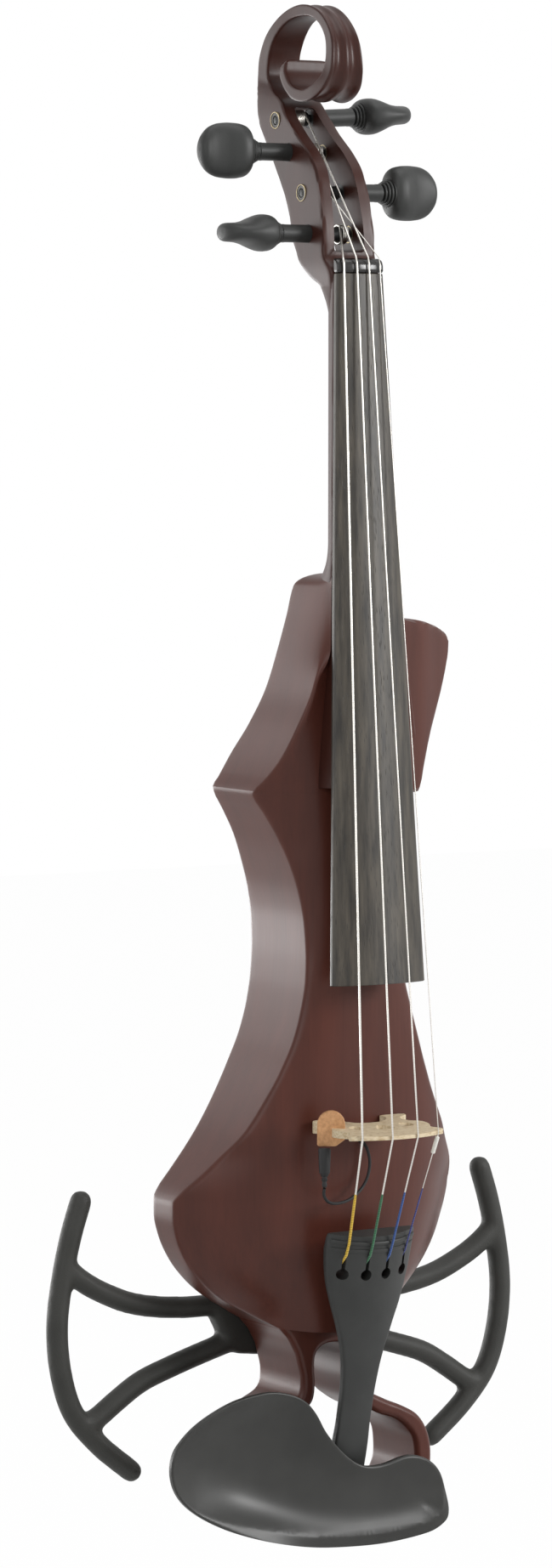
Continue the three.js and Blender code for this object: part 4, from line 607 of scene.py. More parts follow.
def loft(rings, wrap=False):
    """A closed skin through rings of equal count."""
    count, rows = len(rings[0]), len(rings)
    faces = []
    for r in range(rows if wrap else rows - 1):
        a, b = r * count, ((r + 1) % rows) * count
        faces += [(a + i, a + (i + 1) % count, b + (i + 1) % count, b + i) for i in range(count)]
    if not wrap:
        faces.append(tuple(range(count - 1, -1, -1)))
        faces.append(tuple(range((rows - 1) * count, rows * count)))
    return outward((np.vstack(rings).astype(float), faces))


def merged(*shapes):
    """Several shapes as one, without cutting them where they meet."""
    verts, faces, start = [], [], 0
    for points, ring in shapes:
        verts.append(points)
        faces += [tuple(i + start for i in face) for face in ring]
        start += len(points)
    return np.vstack(verts), faces


def sweep(points, radius, sides=16):
    """A round bar along points, with one radius or one for each point."""
    path = np.asarray(points, float)
    radii = np.broadcast_to(radius, len(path))
    runs = np.gradient(path, axis=0)
    runs /= np.linalg.norm(runs, axis=1)[:, None]
    across = np.array([1.0, 0, 0]) if abs(runs[0][0]) < 0.9 else np.array([0, 1.0, 0])
    angles = 2 * math.pi * np.arange(sides) / sides
    rings = []
    for point, run, size in zip(path, runs, radii):
        across = across - run * (across @ run)
        across /= np.linalg.norm(across)
        other = np.cross(run, across)
        rings.append(point + size * (np.outer(np.cos(angles), across) + np.outer(np.sin(angles), other)))
    return loft(rings)


def turned(profile, sides=48, bored=False):
    """A piece turned about the X axis from (place, radius) points."""
    angles = 2 * math.pi * np.arange(sides) / sides
    rings = []
    for x, radius in profile:
        size = max(radius, AXIS_RADIUS)
        rings.append(np.column_stack([np.full(sides, x), size * np.cos(angles), size * np.sin(angles)]))
    return loft(rings, wrap=bored)


def rod(low, high, radius, sides=48):
    """A plain bar or bore along the X axis."""
    return turned([(low, 0), (low, radius), (high, radius), (high, 0)], sides)


PLATE_AXES = {"X": (1, 2, 0), "Y": (0, 2, 1), "Z": (0, 1, 2)}


def plate(outline, low, high, facing="Y", edge=0.0, steps=4):
    """A plate between two planes, its edges rounded by edge. A cutter's edge is negative: it flares out."""
    a, b, c = PLATE_AXES[facing]
    size = abs(edge)
    quarter = [math.pi / 2 * k / steps for k in range(steps + 1)] if edge else []
    near = [(low + size * (1 - math.cos(q)), edge * (1 - math.sin(q))) for q in quarter] or [(low, 0)]
    far = [(high + low - place, amount) for place, amount in reversed(near)]
    if edge < 0:
        near.insert(0, (low - OVERRUN, edge))
        far.append((high + OVERRUN, edge))
    rings = []
    for place, amount in near + far:
        ring = np.zeros((len(outline), 3))
        ring[:, [a, b]] = inset(outline, amount)
        ring[:, c] = place
        rings.append(ring)
    return loft(rings)


def block(x0, x1, y0, y1, z0, z1, edge):
    return plate(rectangle(x0, x1, z0, z1, edge), y0, y1, "Y", edge)


def moved(shape, by):
    return shape[0] + np.asarray(by, float), shape[1]


def rotated(shape, axis, angle):
    """Turned about an axis through the origin, in radians."""
    c, s = math.cos(angle), math.sin(angle)
    matrix = {
        "X": [[1, 0, 0], [0, c, -s], [0, s, c]],
        "Y": [[c, 0, s], [0, 1, 0], [-s, 0, c]],
        "Z": [[c, -s, 0], [s, c, 0], [0, 0, 1]],
    }[axis]
    return shape[0] @ np.array(matrix).T, shape[1]


def along_y(shape):
    return rotated(shape, "Z", math.pi / 2)


def in_neck(shape):
    """From the fingerboard's glue face, which leans back, to the violin's frame."""
    return moved(rotated(shape, "X", -NECK_PITCH), (0, -GLUE_FORWARD, 0))


def in_tail(shape):
    """From the tailpiece's own top end to the violin's frame."""
    return moved(rotated(shape, "X", TAIL_PITCH), (0, -TAIL_FORWARD, -TAIL_DOWN))


def raw(shape):
    """A scratch object with the shape as its mesh."""
    mesh = bpy.data.meshes.new("shape")
    mesh.from_pydata((shape[0] * MM).tolist(), [], shape[1])
    mesh.validate()
    made = bpy.data.objects.new("shape", mesh)
    bpy.context.scene.collection.objects.link(made)
    return made


def settled(obj):
    """Applies the object's modifiers."""
    bpy.context.view_layer.update()
    done = bpy.data.meshes.new_from_object(obj.evaluated_get(bpy.context.evaluated_depsgraph_get()))
    obj.modifiers.clear()
    old, obj.data = obj.data, done
    bpy.data.meshes.remove(old)
    return obj


def combined(first, others, how="UNION"):
    """The first shape or object joined with the others, or cut by them."""
    base = raw(first) if isinstance(first, tuple) else first
    for other in others:
        tool = raw(other)
        step = base.modifiers.new(how, "BOOLEAN")
        step.operation, step.solver, step.object = how, "EXACT", tool
        settled(base)
        bpy.data.objects.remove(tool)
    if not base.data.polygons:
        raise RuntimeError("a cut left nothing of the piece")
    return base


def remeshed(obj, voxel, passes):
    """One even skin over joined bars, with every corner between them filled and smoothed."""
    skin = obj.modifiers.new("skin", "REMESH")
    skin.mode, skin.voxel_size = "VOXEL", voxel * MM
    smooth = obj.modifiers.new("smooth", "SMOOTH")
    smooth.factor, smooth.iterations = SMOOTHING, passes
    return settled(obj)


def finished(name, source, finish, body=ROOT, replaces=(), sharp=38):
    """Names a shape or object, shades it, gives it its finish and hangs it on its body."""
    obj = raw(source) if isinstance(source, tuple) else source
    obj.name = obj.data.name = name
    obj.data.materials.clear()
    obj.data.materials.append(material(finish))
    obj.data.polygons.foreach_set("material_index", [0] * len(obj.data.polygons))
    obj.data.shade_smooth()
    obj.data.set_sharp_from_angle(angle=math.radians(sharp))
    even = obj.modifiers.new("even", "WEIGHTED_NORMAL")
    even.keep_sharp = True
    with bpy.context.temp_override(object=obj, active_object=obj):
        bpy.ops.object.modifier_apply(modifier=even.name)
    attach(obj, body)
    if replaces:
        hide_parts(*replaces)
    return obj


# Materials
def linear(code):
    """An sRGB hex colour as the linear values that a shader takes."""
    parts = [int(code[i : i + 2], 16) / 255 for i in (0, 2, 4)]
    return tuple(c / 12.92 if c <= 0.04045 else ((c + 0.055) / 1.055) ** 2.4 for c in parts) + (1.0,)


def per(size):
    """Texture scale for a pattern that repeats every size millimetres."""
    return 1 / (size * MM)


def add(tree, kind, settings=None, links=None):
    """Adds a node with its settings, its colour stops and its links."""
    made = tree.nodes.new("ShaderNode" + kind)
    for key, value in (settings or {}).items():
        if key == "stops":
            while len(made.color_ramp.elements) < len(value):
                made.color_ramp.elements.new(0.5)
            for element, (place, colour) in zip(made.color_ramp.elements, value):
                element.position, element.color = place, colour
        elif isinstance(key, int) or key in made.inputs:
            made.inputs[key].default_value = value
        else:
            setattr(made, key, value)
    for key, source in (links or {}).items():
        tree.links.new(source, made.inputs[key])
    return made


def begun(name, settings):
    """A new material: its tree, its shader with the plain settings, and the place on the object."""
    made = bpy.data.materials.new(name)
    made.use_nodes = True
    tree = made.node_tree
    tree.nodes.clear()
    shader = add(tree, "BsdfPrincipled", settings)
    add(tree, "OutputMaterial", None, {"Surface": shader.outputs[0]})
    place = add(tree, "TexCoord").outputs["Object"]
    return tree, shader, place


def stretched(tree, place, scale):
    """The place on the object with its axes scaled, so that a pattern lengthens along the grain."""
    return add(tree, "Mapping", {"Scale": scale}, {"Vector": place}).outputs[0]


def noise(tree, place, size, detail, roughness=0.5):
    """A cloudy pattern with blotches of size millimetres."""
    settings = {"Scale": per(size), "Detail": detail, "Roughness": roughness}
    return add(tree, "TexNoise", settings, {"Vector": place}).outputs[0]


def bands(tree, place, pitch, settings):
    """Rings round a string, pitch millimetres apart."""
    settings = {"bands_direction": "Z", "Scale": BAND_WAVE * per(pitch), **settings}
    return add(tree, "TexWave", settings, {"Vector": place}).outputs[0]


def tinted(tree, shader, pattern, *stops):
    """Colours the surface by a pattern, through stops of place and colour."""
    ramp = add(tree, "ValToRGB", {"stops": stops}, {"Fac": pattern})
    tree.links.new(ramp.outputs[0], shader.inputs["Base Color"])


def roughened(tree, shader, pattern, low, high):
    rough = add(tree, "MapRange", {"To Min": low, "To Max": high}, {"Value": pattern})
    tree.links.new(rough.outputs[0], shader.inputs["Roughness"])


def bumped(tree, shader, pattern, depth):
    """Raises the surface by a pattern, by depth millimetres."""
    relief = add(tree, "Bump", {"Strength": 1.0, "Distance": depth * MM}, {"Height": pattern})
    tree.links.new(relief.outputs[0], shader.inputs["Normal"])


def shade(colour, factor):
    return tuple(c * factor for c in colour[:3]) + (1.0,)


def grained(name, settings, grain, stops, gloss, depth=0.0, stretch=(1, 1, 1)):
    """A finish whose colour, gloss and relief follow one grain of (size, detail, roughness)."""
    tree, shader, place = begun(name, settings)
    pattern = noise(tree, stretched(tree, place, stretch), *grain)
    tinted(tree, shader, pattern, *[(at, linear(code)) for at, code in stops])
    roughened(tree, shader, pattern, *gloss)
    if depth:
        bumped(tree, shader, pattern, depth)
    return tree


def stained_maple(name, depth):
    # Maple stained red-brown under satin lacquer: fibres run along the body, the stain gathers in soft
    # darker clouds, and the lacquer gives a broad, pale sheen on the walls that turn away from the eye.
    tree, shader, place = begun(name, {"IOR": WOOD_IOR})
    # depth scales the stain's colour: below 1 it paints shade into the stain, as on the neck and head
    stain = shade(tuple(bpy.context.scene.violin_finish.wood), depth)
    fine = noise(tree, stretched(tree, place, (1, 1, 0.045)), 1.1, 5, 0.6)
    broad = noise(tree, stretched(tree, place, (1, 1, 0.12)), 9, 3)
    both = add(tree, "Math", {"operation": "MULTIPLY_ADD", 1: 0.45}, {0: fine, 2: broad}).outputs[0]
    tinted(tree, shader, both, (0.4, shade(stain, 0.8)), (0.7, stain), (0.95, shade(stain, 1.15)))
    roughened(tree, shader, fine, 0.3, 0.4)
    bumped(tree, shader, fine, 0.02)
    return tree


def oiled_ebony():
    # Ebony, planed and oiled: nearly black brown with short open pores along the grain and a dull sheen.
    tree, shader, place = begun("oiled_ebony", {"IOR": WAXY_IOR})
    fibres = stretched(tree, place, (1, 1, 0.07))
    pores = add(tree, "TexVoronoi", {"Scale": per(0.6), "Randomness": 1}, {"Vector": fibres})
    limits = {"From Min": 0.06, "From Max": 0.26}
    sound = add(tree, "MapRange", limits, {"Value": pores.outputs["Distance"]}).outputs[0]
    stops = [(0.32, linear("26231f")), (0.68, linear("524c43"))]
    streaks = add(tree, "ValToRGB", {"stops": stops}, {"Fac": noise(tree, fibres, 2.2, 4)}).outputs[0]
    # Sockets 6 and 7 are the mix node's two colours, and output 2 is its colour
    wood = add(tree, "Mix", {"data_type": "RGBA", 6: linear("221f1b")}, {0: sound, 7: streaks})
    tree.links.new(wood.outputs[2], shader.inputs["Base Color"])
    roughened(tree, shader, sound, 0.6, 0.42)
    bumped(tree, shader, sound, 0.05)
    return tree


def polished_ebony():
    # Ebony filed smooth and buffed, for nut, saddle and button: black with a clear small highlight.
    stops = [(0.3, "0e0d0d"), (0.75, "24201e")]
    return grained("polished_ebony", {"IOR": 1.5}, (0.8, 4), stops, (0.18, 0.3))


def bare_maple():
    # Unvarnished maple, scraped: pale beige with short darker flecks and almost no gloss.
    stops = [(0.32, "bfa680"), (0.5, "d8c6a6"), (0.8, "e4d5b8")]
    return grained("bare_maple", {"IOR": WAXY_IOR}, (0.7, 3), stops, (0.5, 0.68), 0.03, (0.3, 1, 1))


def oiled_pearwood():
    # Pearwood turned and oiled: even orange-tan with very fine grain.
    stops = [(0.3, "bd8a5c"), (0.6, "d6a273"), (0.85, "e0b286")]
    return grained("oiled_pearwood", {"IOR": WAXY_IOR}, (1.2, 5, 0.6), stops, (0.42, 0.55), 0.02)


def moulded_black(name, dark, light, gloss, grit, depth):
    """A black moulding with a fine spark-eroded grain of grit millimetres."""
    tree, shader, place = begun(name, {"IOR": MOULDED_IOR})
    tinted(tree, shader, noise(tree, place, 14, 2), (0.3, linear(dark)), (0.75, linear(light)))
    grain = noise(tree, place, grit, 2, 0.6)
    roughened(tree, shader, grain, *gloss)
    bumped(tree, shader, grain, depth)
    return tree


def matt_resin():
    # Glass-filled resin with an eroded grain, for pegs and tailpiece: charcoal, soft wide highlights.
    return moulded_black("matt_moulded_resin", "2a2b2a", "323332", (0.42, 0.56), 0.35, 0.03)


def grey_resin():
    # The same resin where it's been cut flush and polished, in the bushes: a dull grey-brown disc.
    return moulded_black("flush_cut_resin", "3a3632", "4d4843", (0.4, 0.5), 0.35, 0.01)


def satin_abs():
    # ABS moulded in a satin tool, for the chin rest: near black with one calm, broad highlight.
    return moulded_black("satin_moulded_abs", "2c2c2a", "343432", (0.34, 0.42), 0.3, 0.012)


def textured_polymer():
    # Polymer with a heavy leather-fine texture, for the wings: dark grey, the grain sparkles a little.
    return moulded_black("textured_moulded_polymer", "2e2e2b", "373734", (0.5, 0.66), 0.55, 0.09)


def soft_rubber():
    # Black PVC jacket: dull, a little grey where light grazes it.
    return moulded_black("black_pvc_jacket", "111112", "1a1a1b", (0.5, 0.62), 0.4, 0.01)


def wound_steel():
    # Steel core wound with flat silver tape: a bright thread with rings, drawn 1 mm apart so they show.
    tree, shader, place = begun("flat_wound_silver", {"Metallic": 1.0})
    turns = bands(tree, place, WOUND_PITCH, {"Detail": 0})
    tinted(tree, shader, turns, (0.0, linear("d0cdc6")), (0.6, linear("dad7d1")))
    roughened(tree, shader, turns, 0.33, 0.3)
    bumped(tree, shader, turns, 0.002)
    return tree


def silk(name, dark, light):
    # Silk thread wound side by side, drawn 0.7 mm a turn so it shows: a dry coloured sleeve with rings.
    tree, shader, place = begun(name, {"IOR": 1.5, "Sheen Weight": 0.3, "Sheen Roughness": 0.5})
    turns = bands(tree, place, SILK_PITCH, {"Distortion": 0.6})
    tinted(tree, shader, turns, (0.0, linear(dark)), (0.4, linear(light)))
    roughened(tree, shader, turns, 0.7, 0.55)
    bumped(tree, shader, turns, 0.015)
    return tree


def metal(name, dark, light, gloss, scratch):
    """A turned or plated metal with hairline marks scratch millimetres apart."""
    return grained(name, {"Metallic": 1.0}, (scratch, 3), [(0.3, dark), (0.7, light)], gloss)


def nickel_steel():
    # Nickel-plated steel, for screws, bracket and clamp barrels: cool grey, sharp reflections.
    return metal("nickel_plated_steel", "8e9093", "b4b6b8", (0.16, 0.3), 0.4)


def turned_brass():
    # Turned brass gone dull, for the bushes' rims: a thin tan ring on the dark cheek.
    return metal("dull_turned_brass", "8f8468", "b8a98a", (0.4, 0.55), 0.5)


def lacquered_can():
    # Lacquered sheet-metal battery case: dark slate with a soft metallic sheen.
    return metal("lacquered_battery_case", "24272c", "31353b", (0.3, 0.42), 3)


def white_plastic():
    # Extruded PVC tube over the thin string: opaque white, slightly glossy.
    stops = [(0.3, "dedcd4"), (0.7, "f1f0ea")]
    return grained("white_pvc_tube", {"IOR": 1.5}, (3, 2), stops, (0.35, 0.45))


def pressed_cork():
    # Pressed cork granules, 1 mm across: tan with darker specks, quite without gloss.
    tree, shader, place = begun("pressed_cork", {"IOR": 1.4})
    grains = add(tree, "TexVoronoi", {"Scale": per(1.0)}, {"Vector": place}).outputs["Distance"]
    stops = [(0.1, linear("6d4a2a")), (0.35, linear("b08557")), (0.8, linear("c79c6b"))]
    tinted(tree, shader, grains, *stops)
    roughened(tree, shader, grains, 0.95, 0.8)
    bumped(tree, shader, grains, 0.12)
    return tree


def solder_mask():
    # Epoxy glass board under green solder mask, with a grid of tracks that shows through.
    tree, shader, place = begun("green_solder_mask", {"IOR": 1.5, "Coat Weight": 0.4, "Coat Roughness": 0.2})
    greens = {"Color1": linear("17452c"), "Color2": linear("1d5636"), "Mortar": linear("2f7a4c")}
    tracks = add(tree, "TexBrick", {"Scale": per(6), **greens}, {"Vector": place})
    tree.links.new(tracks.outputs["Color"], shader.inputs["Base Color"])
    roughened(tree, shader, tracks.outputs["Fac"], 0.3, 0.45)
    return tree


# Every finish that a piece can take, by the name that the pieces use
FINISHES = {
    "stained_wood": lambda: stained_maple("stained_maple_satin_lacquer", 1.0),
    # The neck and head take the stain at half strength: painted shade, for the lesser light that falls on
    # them
    "stained_wood_with_painted_shade": lambda: stained_maple("darker_stained_maple_satin_lacquer", 0.5),
    "ebony": oiled_ebony,
    "ebony_polished": polished_ebony,
    "maple": bare_maple,
    "pearwood": oiled_pearwood,
    "matt_black": matt_resin,
    "grey_resin": grey_resin,
    "satin_black": satin_abs,
    "wing_black": textured_polymer,
    "black_rubber": soft_rubber,
    "string_metal": wound_steel,
    "steel": nickel_steel,
    "brass": turned_brass,
    "white_plastic": white_plastic,
    "cork": pressed_cork,
    "circuit": solder_mask,
    "battery_case": lacquered_can,
    # Silk dyed yellow, green, blue and violet marks the four strings
    "silk_yellow": lambda: silk("yellow_silk_winding", "a9861b", "e0b93a"),
    "silk_green": lambda: silk("green_silk_winding", "1f4a33", "34704c"),
    "silk_blue": lambda: silk("blue_silk_winding", "1d3a6c", "34589c"),
    "silk_violet": lambda: silk("violet_silk_winding", "272c62", "41488c"),
}
# The materials made so far, by finish
MADE = {}


def material(finish):
    """The finish's material, made when it's first asked for."""
    if finish not in MADE:
        tree = FINISHES[finish]()
        MADE[finish] = next(m for m in bpy.data.materials if m.node_tree == tree)
    return MADE[finish]


def keep(node, finish):
    """A CAD node whose shape is right keeps it and takes the finish."""
    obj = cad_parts[node]
    obj.data.materials.clear()
    obj.data.materials.append(material(finish))


# Body
def row_values(column, along):
    """One column of the body's table at places along the body."""
    rows = np.array(BODY_ROW_SHARES)
    return eased(rows[:, [0, column]], along)


def half_section(width, edge, ridge, back, down):
    """One side's section, from the middle of the back round to the ridge of the front."""
    round_back = min(setting("violin_body", "back_round"), 0.35 * width)
    round_front = min(setting("violin_body", "front_round"), 0.3 * (back - edge))
    points = [(share * (width - round_back), back) for share in (0, 0.25, 0.5, 0.75, 0.92)]
    for k in range(CORNER_STEPS + 1):
        angle = math.pi / 2 * k / CORNER_STEPS
        from_wall, from_back = round_back * (1 - math.sin(angle)), round_back * (1 - math.cos(angle))
        points.append((width - from_wall, back - from_back))
    low, high = back - round_back, edge + round_front
    points += [(width, low + (high - low) * share) for share in (0.1, 0.25, 0.4, 0.55, 0.7, 0.85)]
    last = 1 - FRONT_TURN * round_front / width
    turn = [(width, high), (width, edge), (last * width, ridge + (edge - ridge) * last**BELLY_CURVE)]
    for k in range(CORNER_STEPS + 1):
        t = k / CORNER_STEPS
        points.append(weighed(turn, ((1 - t) ** 2, 2 * t * (1 - t), t * t)))
    heel = 1 - float(ramp((down - BODY_TOP) / BODY_LENGTH, *HEEL_FADE_SHARES))
    if heel > 0:
        glue = -GLUE_FORWARD - down * math.sin(NECK_PITCH)
        neck = board_half_width(down) - NECK_INSET
        pull = neck + HEEL_PULL_SHARE * (width - neck)
        first = len(points) - 2 * (CORNER_STEPS + 1)
        ends = [points[first], (width, edge + HEEL_WALL_START), (pull, glue + HEEL_PULL_RISE)]
        ends.append((neck, glue + HEEL_EDGE_RISE))
        for k, old in enumerate(points[first:]):
            t = k / (2 * CORNER_STEPS + 1)
            new = weighed(ends, ((1 - t) ** 3, 3 * t * (1 - t) ** 2, 3 * t * t * (1 - t), t**3))
            points[first + k] = tuple(a + (b - a) * heel for a, b in zip(old, new))
    for k in range(1, FRONT_STEPS + 1):
        u = last * (1 - (k / FRONT_STEPS) ** FRONT_SPREAD)
        points.append((u * width, ridge + (edge - ridge) * u**BELLY_CURVE))
    return np.array(points)


def body_ring(along, shrink=0.0):
    """The body's whole section at one place, treble side first."""
    left, right = (row_values(k, along) * LOWER_HALF_WIDTH - shrink for k in (1, 2))
    edge, ridge, back = (BACK_PLANE - row_values(k, along) * BODY_DEPTH for k in (3, 4, 5))
    z = -(BODY_TOP + along * BODY_LENGTH)
    treble = half_section(right, edge, ridge, back - shrink, -z)
    bass = half_section(left, edge, ridge, back - shrink, -z)[1:-1][::-1] * (-1, 1)
    flat = np.vstack([treble, bass])
    sag = FOOT_SAG * (1 - (flat[:, 0] / left) ** 2) * ramp(along, FOOT_START, BODY_FOOT)
    return np.column_stack([flat, z - sag])


def body_shell():
    """The body without its loop: rows between those of the table, and a rounded top end."""
    places = [row[0] for row in BODY_ROW_SHARES if row[0] <= BODY_FOOT]
    along = []
    for a, b in zip(places, places[1:]):
        steps = max(2, round((b - a) * BODY_LENGTH / SECTION_STEP))
        along += [a + (b - a) * k / steps for k in range(steps)]
    along.append(BODY_FOOT)
    rings = []
    for k in range(TOP_STEPS + 1):
        angle = math.pi / 2 * k / TOP_STEPS
        down = TOP_ROUND * (1 - math.cos(angle))
        rings.append(body_ring(down / BODY_LENGTH, TOP_ROUND * (1 - math.sin(angle))))
    rings += [body_ring(a) for a in along if a * BODY_LENGTH > TOP_ROUND + GAP]
    return loft(rings)


def treble_shoulder():
    """The horn beside the neck, from inside the body out to its rounded end."""
    share = 1 - (1 - np.linspace(0, 1, HORN_STATIONS)) ** 2
    across = HORN_START_SHARE + (1 - HORN_START_SHARE) * share
    top = -(HORN_TOP + eased(HORN_UPPER_SHARES, across) * HORN_LENGTH)
    low = -(HORN_TOP + eased(HORN_LOWER_SHARES, across) * HORN_LENGTH)
    front = BACK_PLANE - eased(HORN_FRONT_SHARES, across) * BODY_DEPTH
    behind = BACK_PLANE - eased(HORN_BACK_SHARES, across) * BODY_DEPTH
    rings = []
    for x, z1, z0, y0, y1 in zip(across * HORN_REACH, top, low, front, behind):
        down = np.linspace(z1, z0, 24)
        slope = BACK_PLANE - row_values(5, (-down - BODY_TOP) / BODY_LENGTH) * BODY_DEPTH
        rear = np.maximum(np.minimum(y1, slope), y0 + HORN_MIN_DEPTH)
        middle = len(down) // 2
        front_line = [(y0, z) for z in down]
        outline = front_line[middle:] + list(zip(rear[::-1], down[::-1])) + front_line[:middle]
        ring = softened(outline, 72, min(HORN_ROUND, 0.12 * (z1 - z0) + 0.05))
        rings.append(np.column_stack([np.full(len(ring), x), ring]))
    return loft(rings)


def tail_loop():
    """The open loop below the body, rounded outside and flared inside."""
    rings = []
    for shares in (LOOP_OUTER_SHARES, LOOP_INNER_SHARES):
        rings.append(mirrored(through(scaled(shares, LOOP_HALF_WIDTH, -LOOP_LENGTH, -LOOP_TOP), 5)))
    whole = plate(rings[0], LOOP_FRONT, BACK_PLANE, "Y", LOOP_ROUND, 5)
    return combined(whole, [plate(rings[1], LOOP_FRONT, BACK_PLANE, "Y", -LOOP_ROUND, 5)], "DIFFERENCE")


def cavity_outline(grow):
    top, wide = CAVITY_TOP_HALF_WIDTH + grow, CAVITY_HALF_WIDTH + grow
    return mirrored([(top, grow - CAVITY_TOP), (wide, grow - CAVITY_SHOULDER), (wide, -CAVITY_BOTTOM - grow)])


def wall_point(along):
    """Where the treble wall runs at one place along the body: across and up."""
    return np.array([row_values(2, along) * LOWER_HALF_WIDTH, -(BODY_TOP + along * BODY_LENGTH)])


def socket_place(along, flange):
    """Where a socket stands on the treble wall, and the wall's turn there."""
    reach = flange / BODY_LENGTH
    high, low = wall_point(along - reach), wall_point(along + reach)
    run = high - low
    turn = math.atan2(-run[0], run[1])
    middle = (high + low) / 2
    return lambda shape: moved(rotated(shape, "Y", -turn), (middle[0], SOCKET_BACK, middle[1]))


def object_shape(obj):
    """A scratch object's mesh as a shape again."""
    verts = np.array([v.co for v in obj.data.vertices]) / MM
    faces = [tuple(p.vertices) for p in obj.data.polygons]
    bpy.data.objects.remove(obj)
    return verts, faces


def body_with_holes():
    whole = combined(body_shell(), [treble_shoulder(), object_shape(tail_loop())])
    across, down = CABLE_HOLE
    cuts = [
        plate(cavity_outline(0), CAVITY_FLOOR, BACK_PLANE + OVERRUN),
        plate(cavity_outline(COVER_RIM + GAP), BACK_PLANE - COVER_THICKNESS - GAP, BACK_PLANE + OVERRUN),
        plate(circle(across, -down, CABLE_RADIUS + GAP, 20), -BODY_DEPTH, CAVITY_FLOOR + OVERRUN),
    ]
    for along, _, _, flange, _ in SOCKETS.values():
        cuts.append(socket_place(along, flange)(rod(-FLANGE_THICKNESS, flange, flange + 0.1)))
    return combined(whole, cuts, "DIFFERENCE")


# Neck, fingerboard and head
def board_half_width(down):
    return (BOARD_NUT_WIDTH + (BOARD_END_WIDTH - BOARD_NUT_WIDTH) * down / BOARD_LENGTH) / 2


def board_top(down, x, rise=0.0):
    half = board_half_width(down)
    return BOARD_EDGE + rise + np.sqrt(BOARD_RADIUS**2 - x**2) - math.sqrt(BOARD_RADIUS**2 - half**2)


def arched_ring(down, half, underside, top, reach):
    """An arched section with softened edges; top gives the height over the glue face across."""
    x = np.linspace(-half, half, 33)
    outline = [(0, underside), (half, underside)] + [(a, -top(a)) for a in x[::-1]] + [(-half, underside)]
    ring = softened(outline, 128, reach)
    return np.column_stack([ring, np.full(len(ring), -down)])


def fingerboard():
    downs = [GAP / 2, GAP / 2 + 0.3, GAP / 2 + 1] + list(np.linspace(8, BOARD_LENGTH - 8, 12))
    downs += [BOARD_LENGTH - 1, BOARD_LENGTH - 0.3, BOARD_LENGTH]
    rings = []
    for down in downs:
        ease = BOARD_END_EASE if down in (downs[0], downs[-1]) else 0

        def top(a, down=down, ease=ease):
            return board_top(down, a) - ease

        rings.append(arched_ring(down, board_half_width(down) - ease, -GAP + ease, top, BOARD_ROUND))
    return in_neck(loft(rings))


def nut():
    steps = 8
    rings = []
    for k in range(steps + 1):
        share = k / steps
        fall = max(0, (share - NUT_FALL_SHARE) / (1 - NUT_FALL_SHARE))
        drop = (NUT_RISE + BOARD_EDGE / 2) * fall**2
        ease = 0.3 if k in (0, steps) else 0
        down = -GAP / 2 - (NUT_LENGTH - GAP / 2) * share

        def top(a, less=drop + ease):
            away = [(a - order * STRING_NUT_GAP) / NOTCH_WIDTH for order in STRING_ORDERS]
            return board_top(0, a, NUT_RISE) - less - NOTCH_DEPTH * sum(math.exp(-(w**2)) for w in away)

        rings.append(arched_ring(down, BOARD_NUT_WIDTH / 2 - ease, -GAP, top, 0.35))
    return in_neck(loft(rings))


def neck_shaft():
    """The neck's half-round back, swelling into the heel above the body."""
    downs = list(np.linspace(-2, BODY_TOP - HEEL_LENGTH, 26))
    downs += list(np.linspace(BODY_TOP + 2 - HEEL_LENGTH, BODY_TOP + 5, 14))
    angles = np.linspace(0, math.pi, 33)
    rings = []
    for down in downs:
        half = board_half_width(max(down, 0)) - NECK_INSET
        deep = NECK_DEPTH + HEEL_FLARE * max(0.0, 1 - (BODY_TOP + 2 - down) / HEEL_LENGTH) ** HEEL_POWER
        curve = [(half * math.cos(a), deep * math.sin(a) ** NECK_SQUARENESS) for a in angles]
        rings.append(np.column_stack([softened(curve, 80, 0.5), np.full(80, -down)]))
    return in_neck(loft(rings))


def neck_tongue():
    """The neck's block under the fingerboard, let into the body."""
    rings = []
    for down in np.linspace(BODY_TOP + 6, NECK_BLOCK_END, 10):
        half = board_half_width(down) - 2 * NECK_INSET
        ring = rectangle(-half, half, -GAP / 2, NECK_DEPTH + 3, 0.6)
        rings.append(np.column_stack([ring, np.full(len(ring), -down)]))
    return in_neck(loft(rings))


def head_half_width(up):
    return eased(HEAD_WIDTH_SHARES, np.asarray(up) / HEAD_TOP) * HEAD_HALF_WIDTH


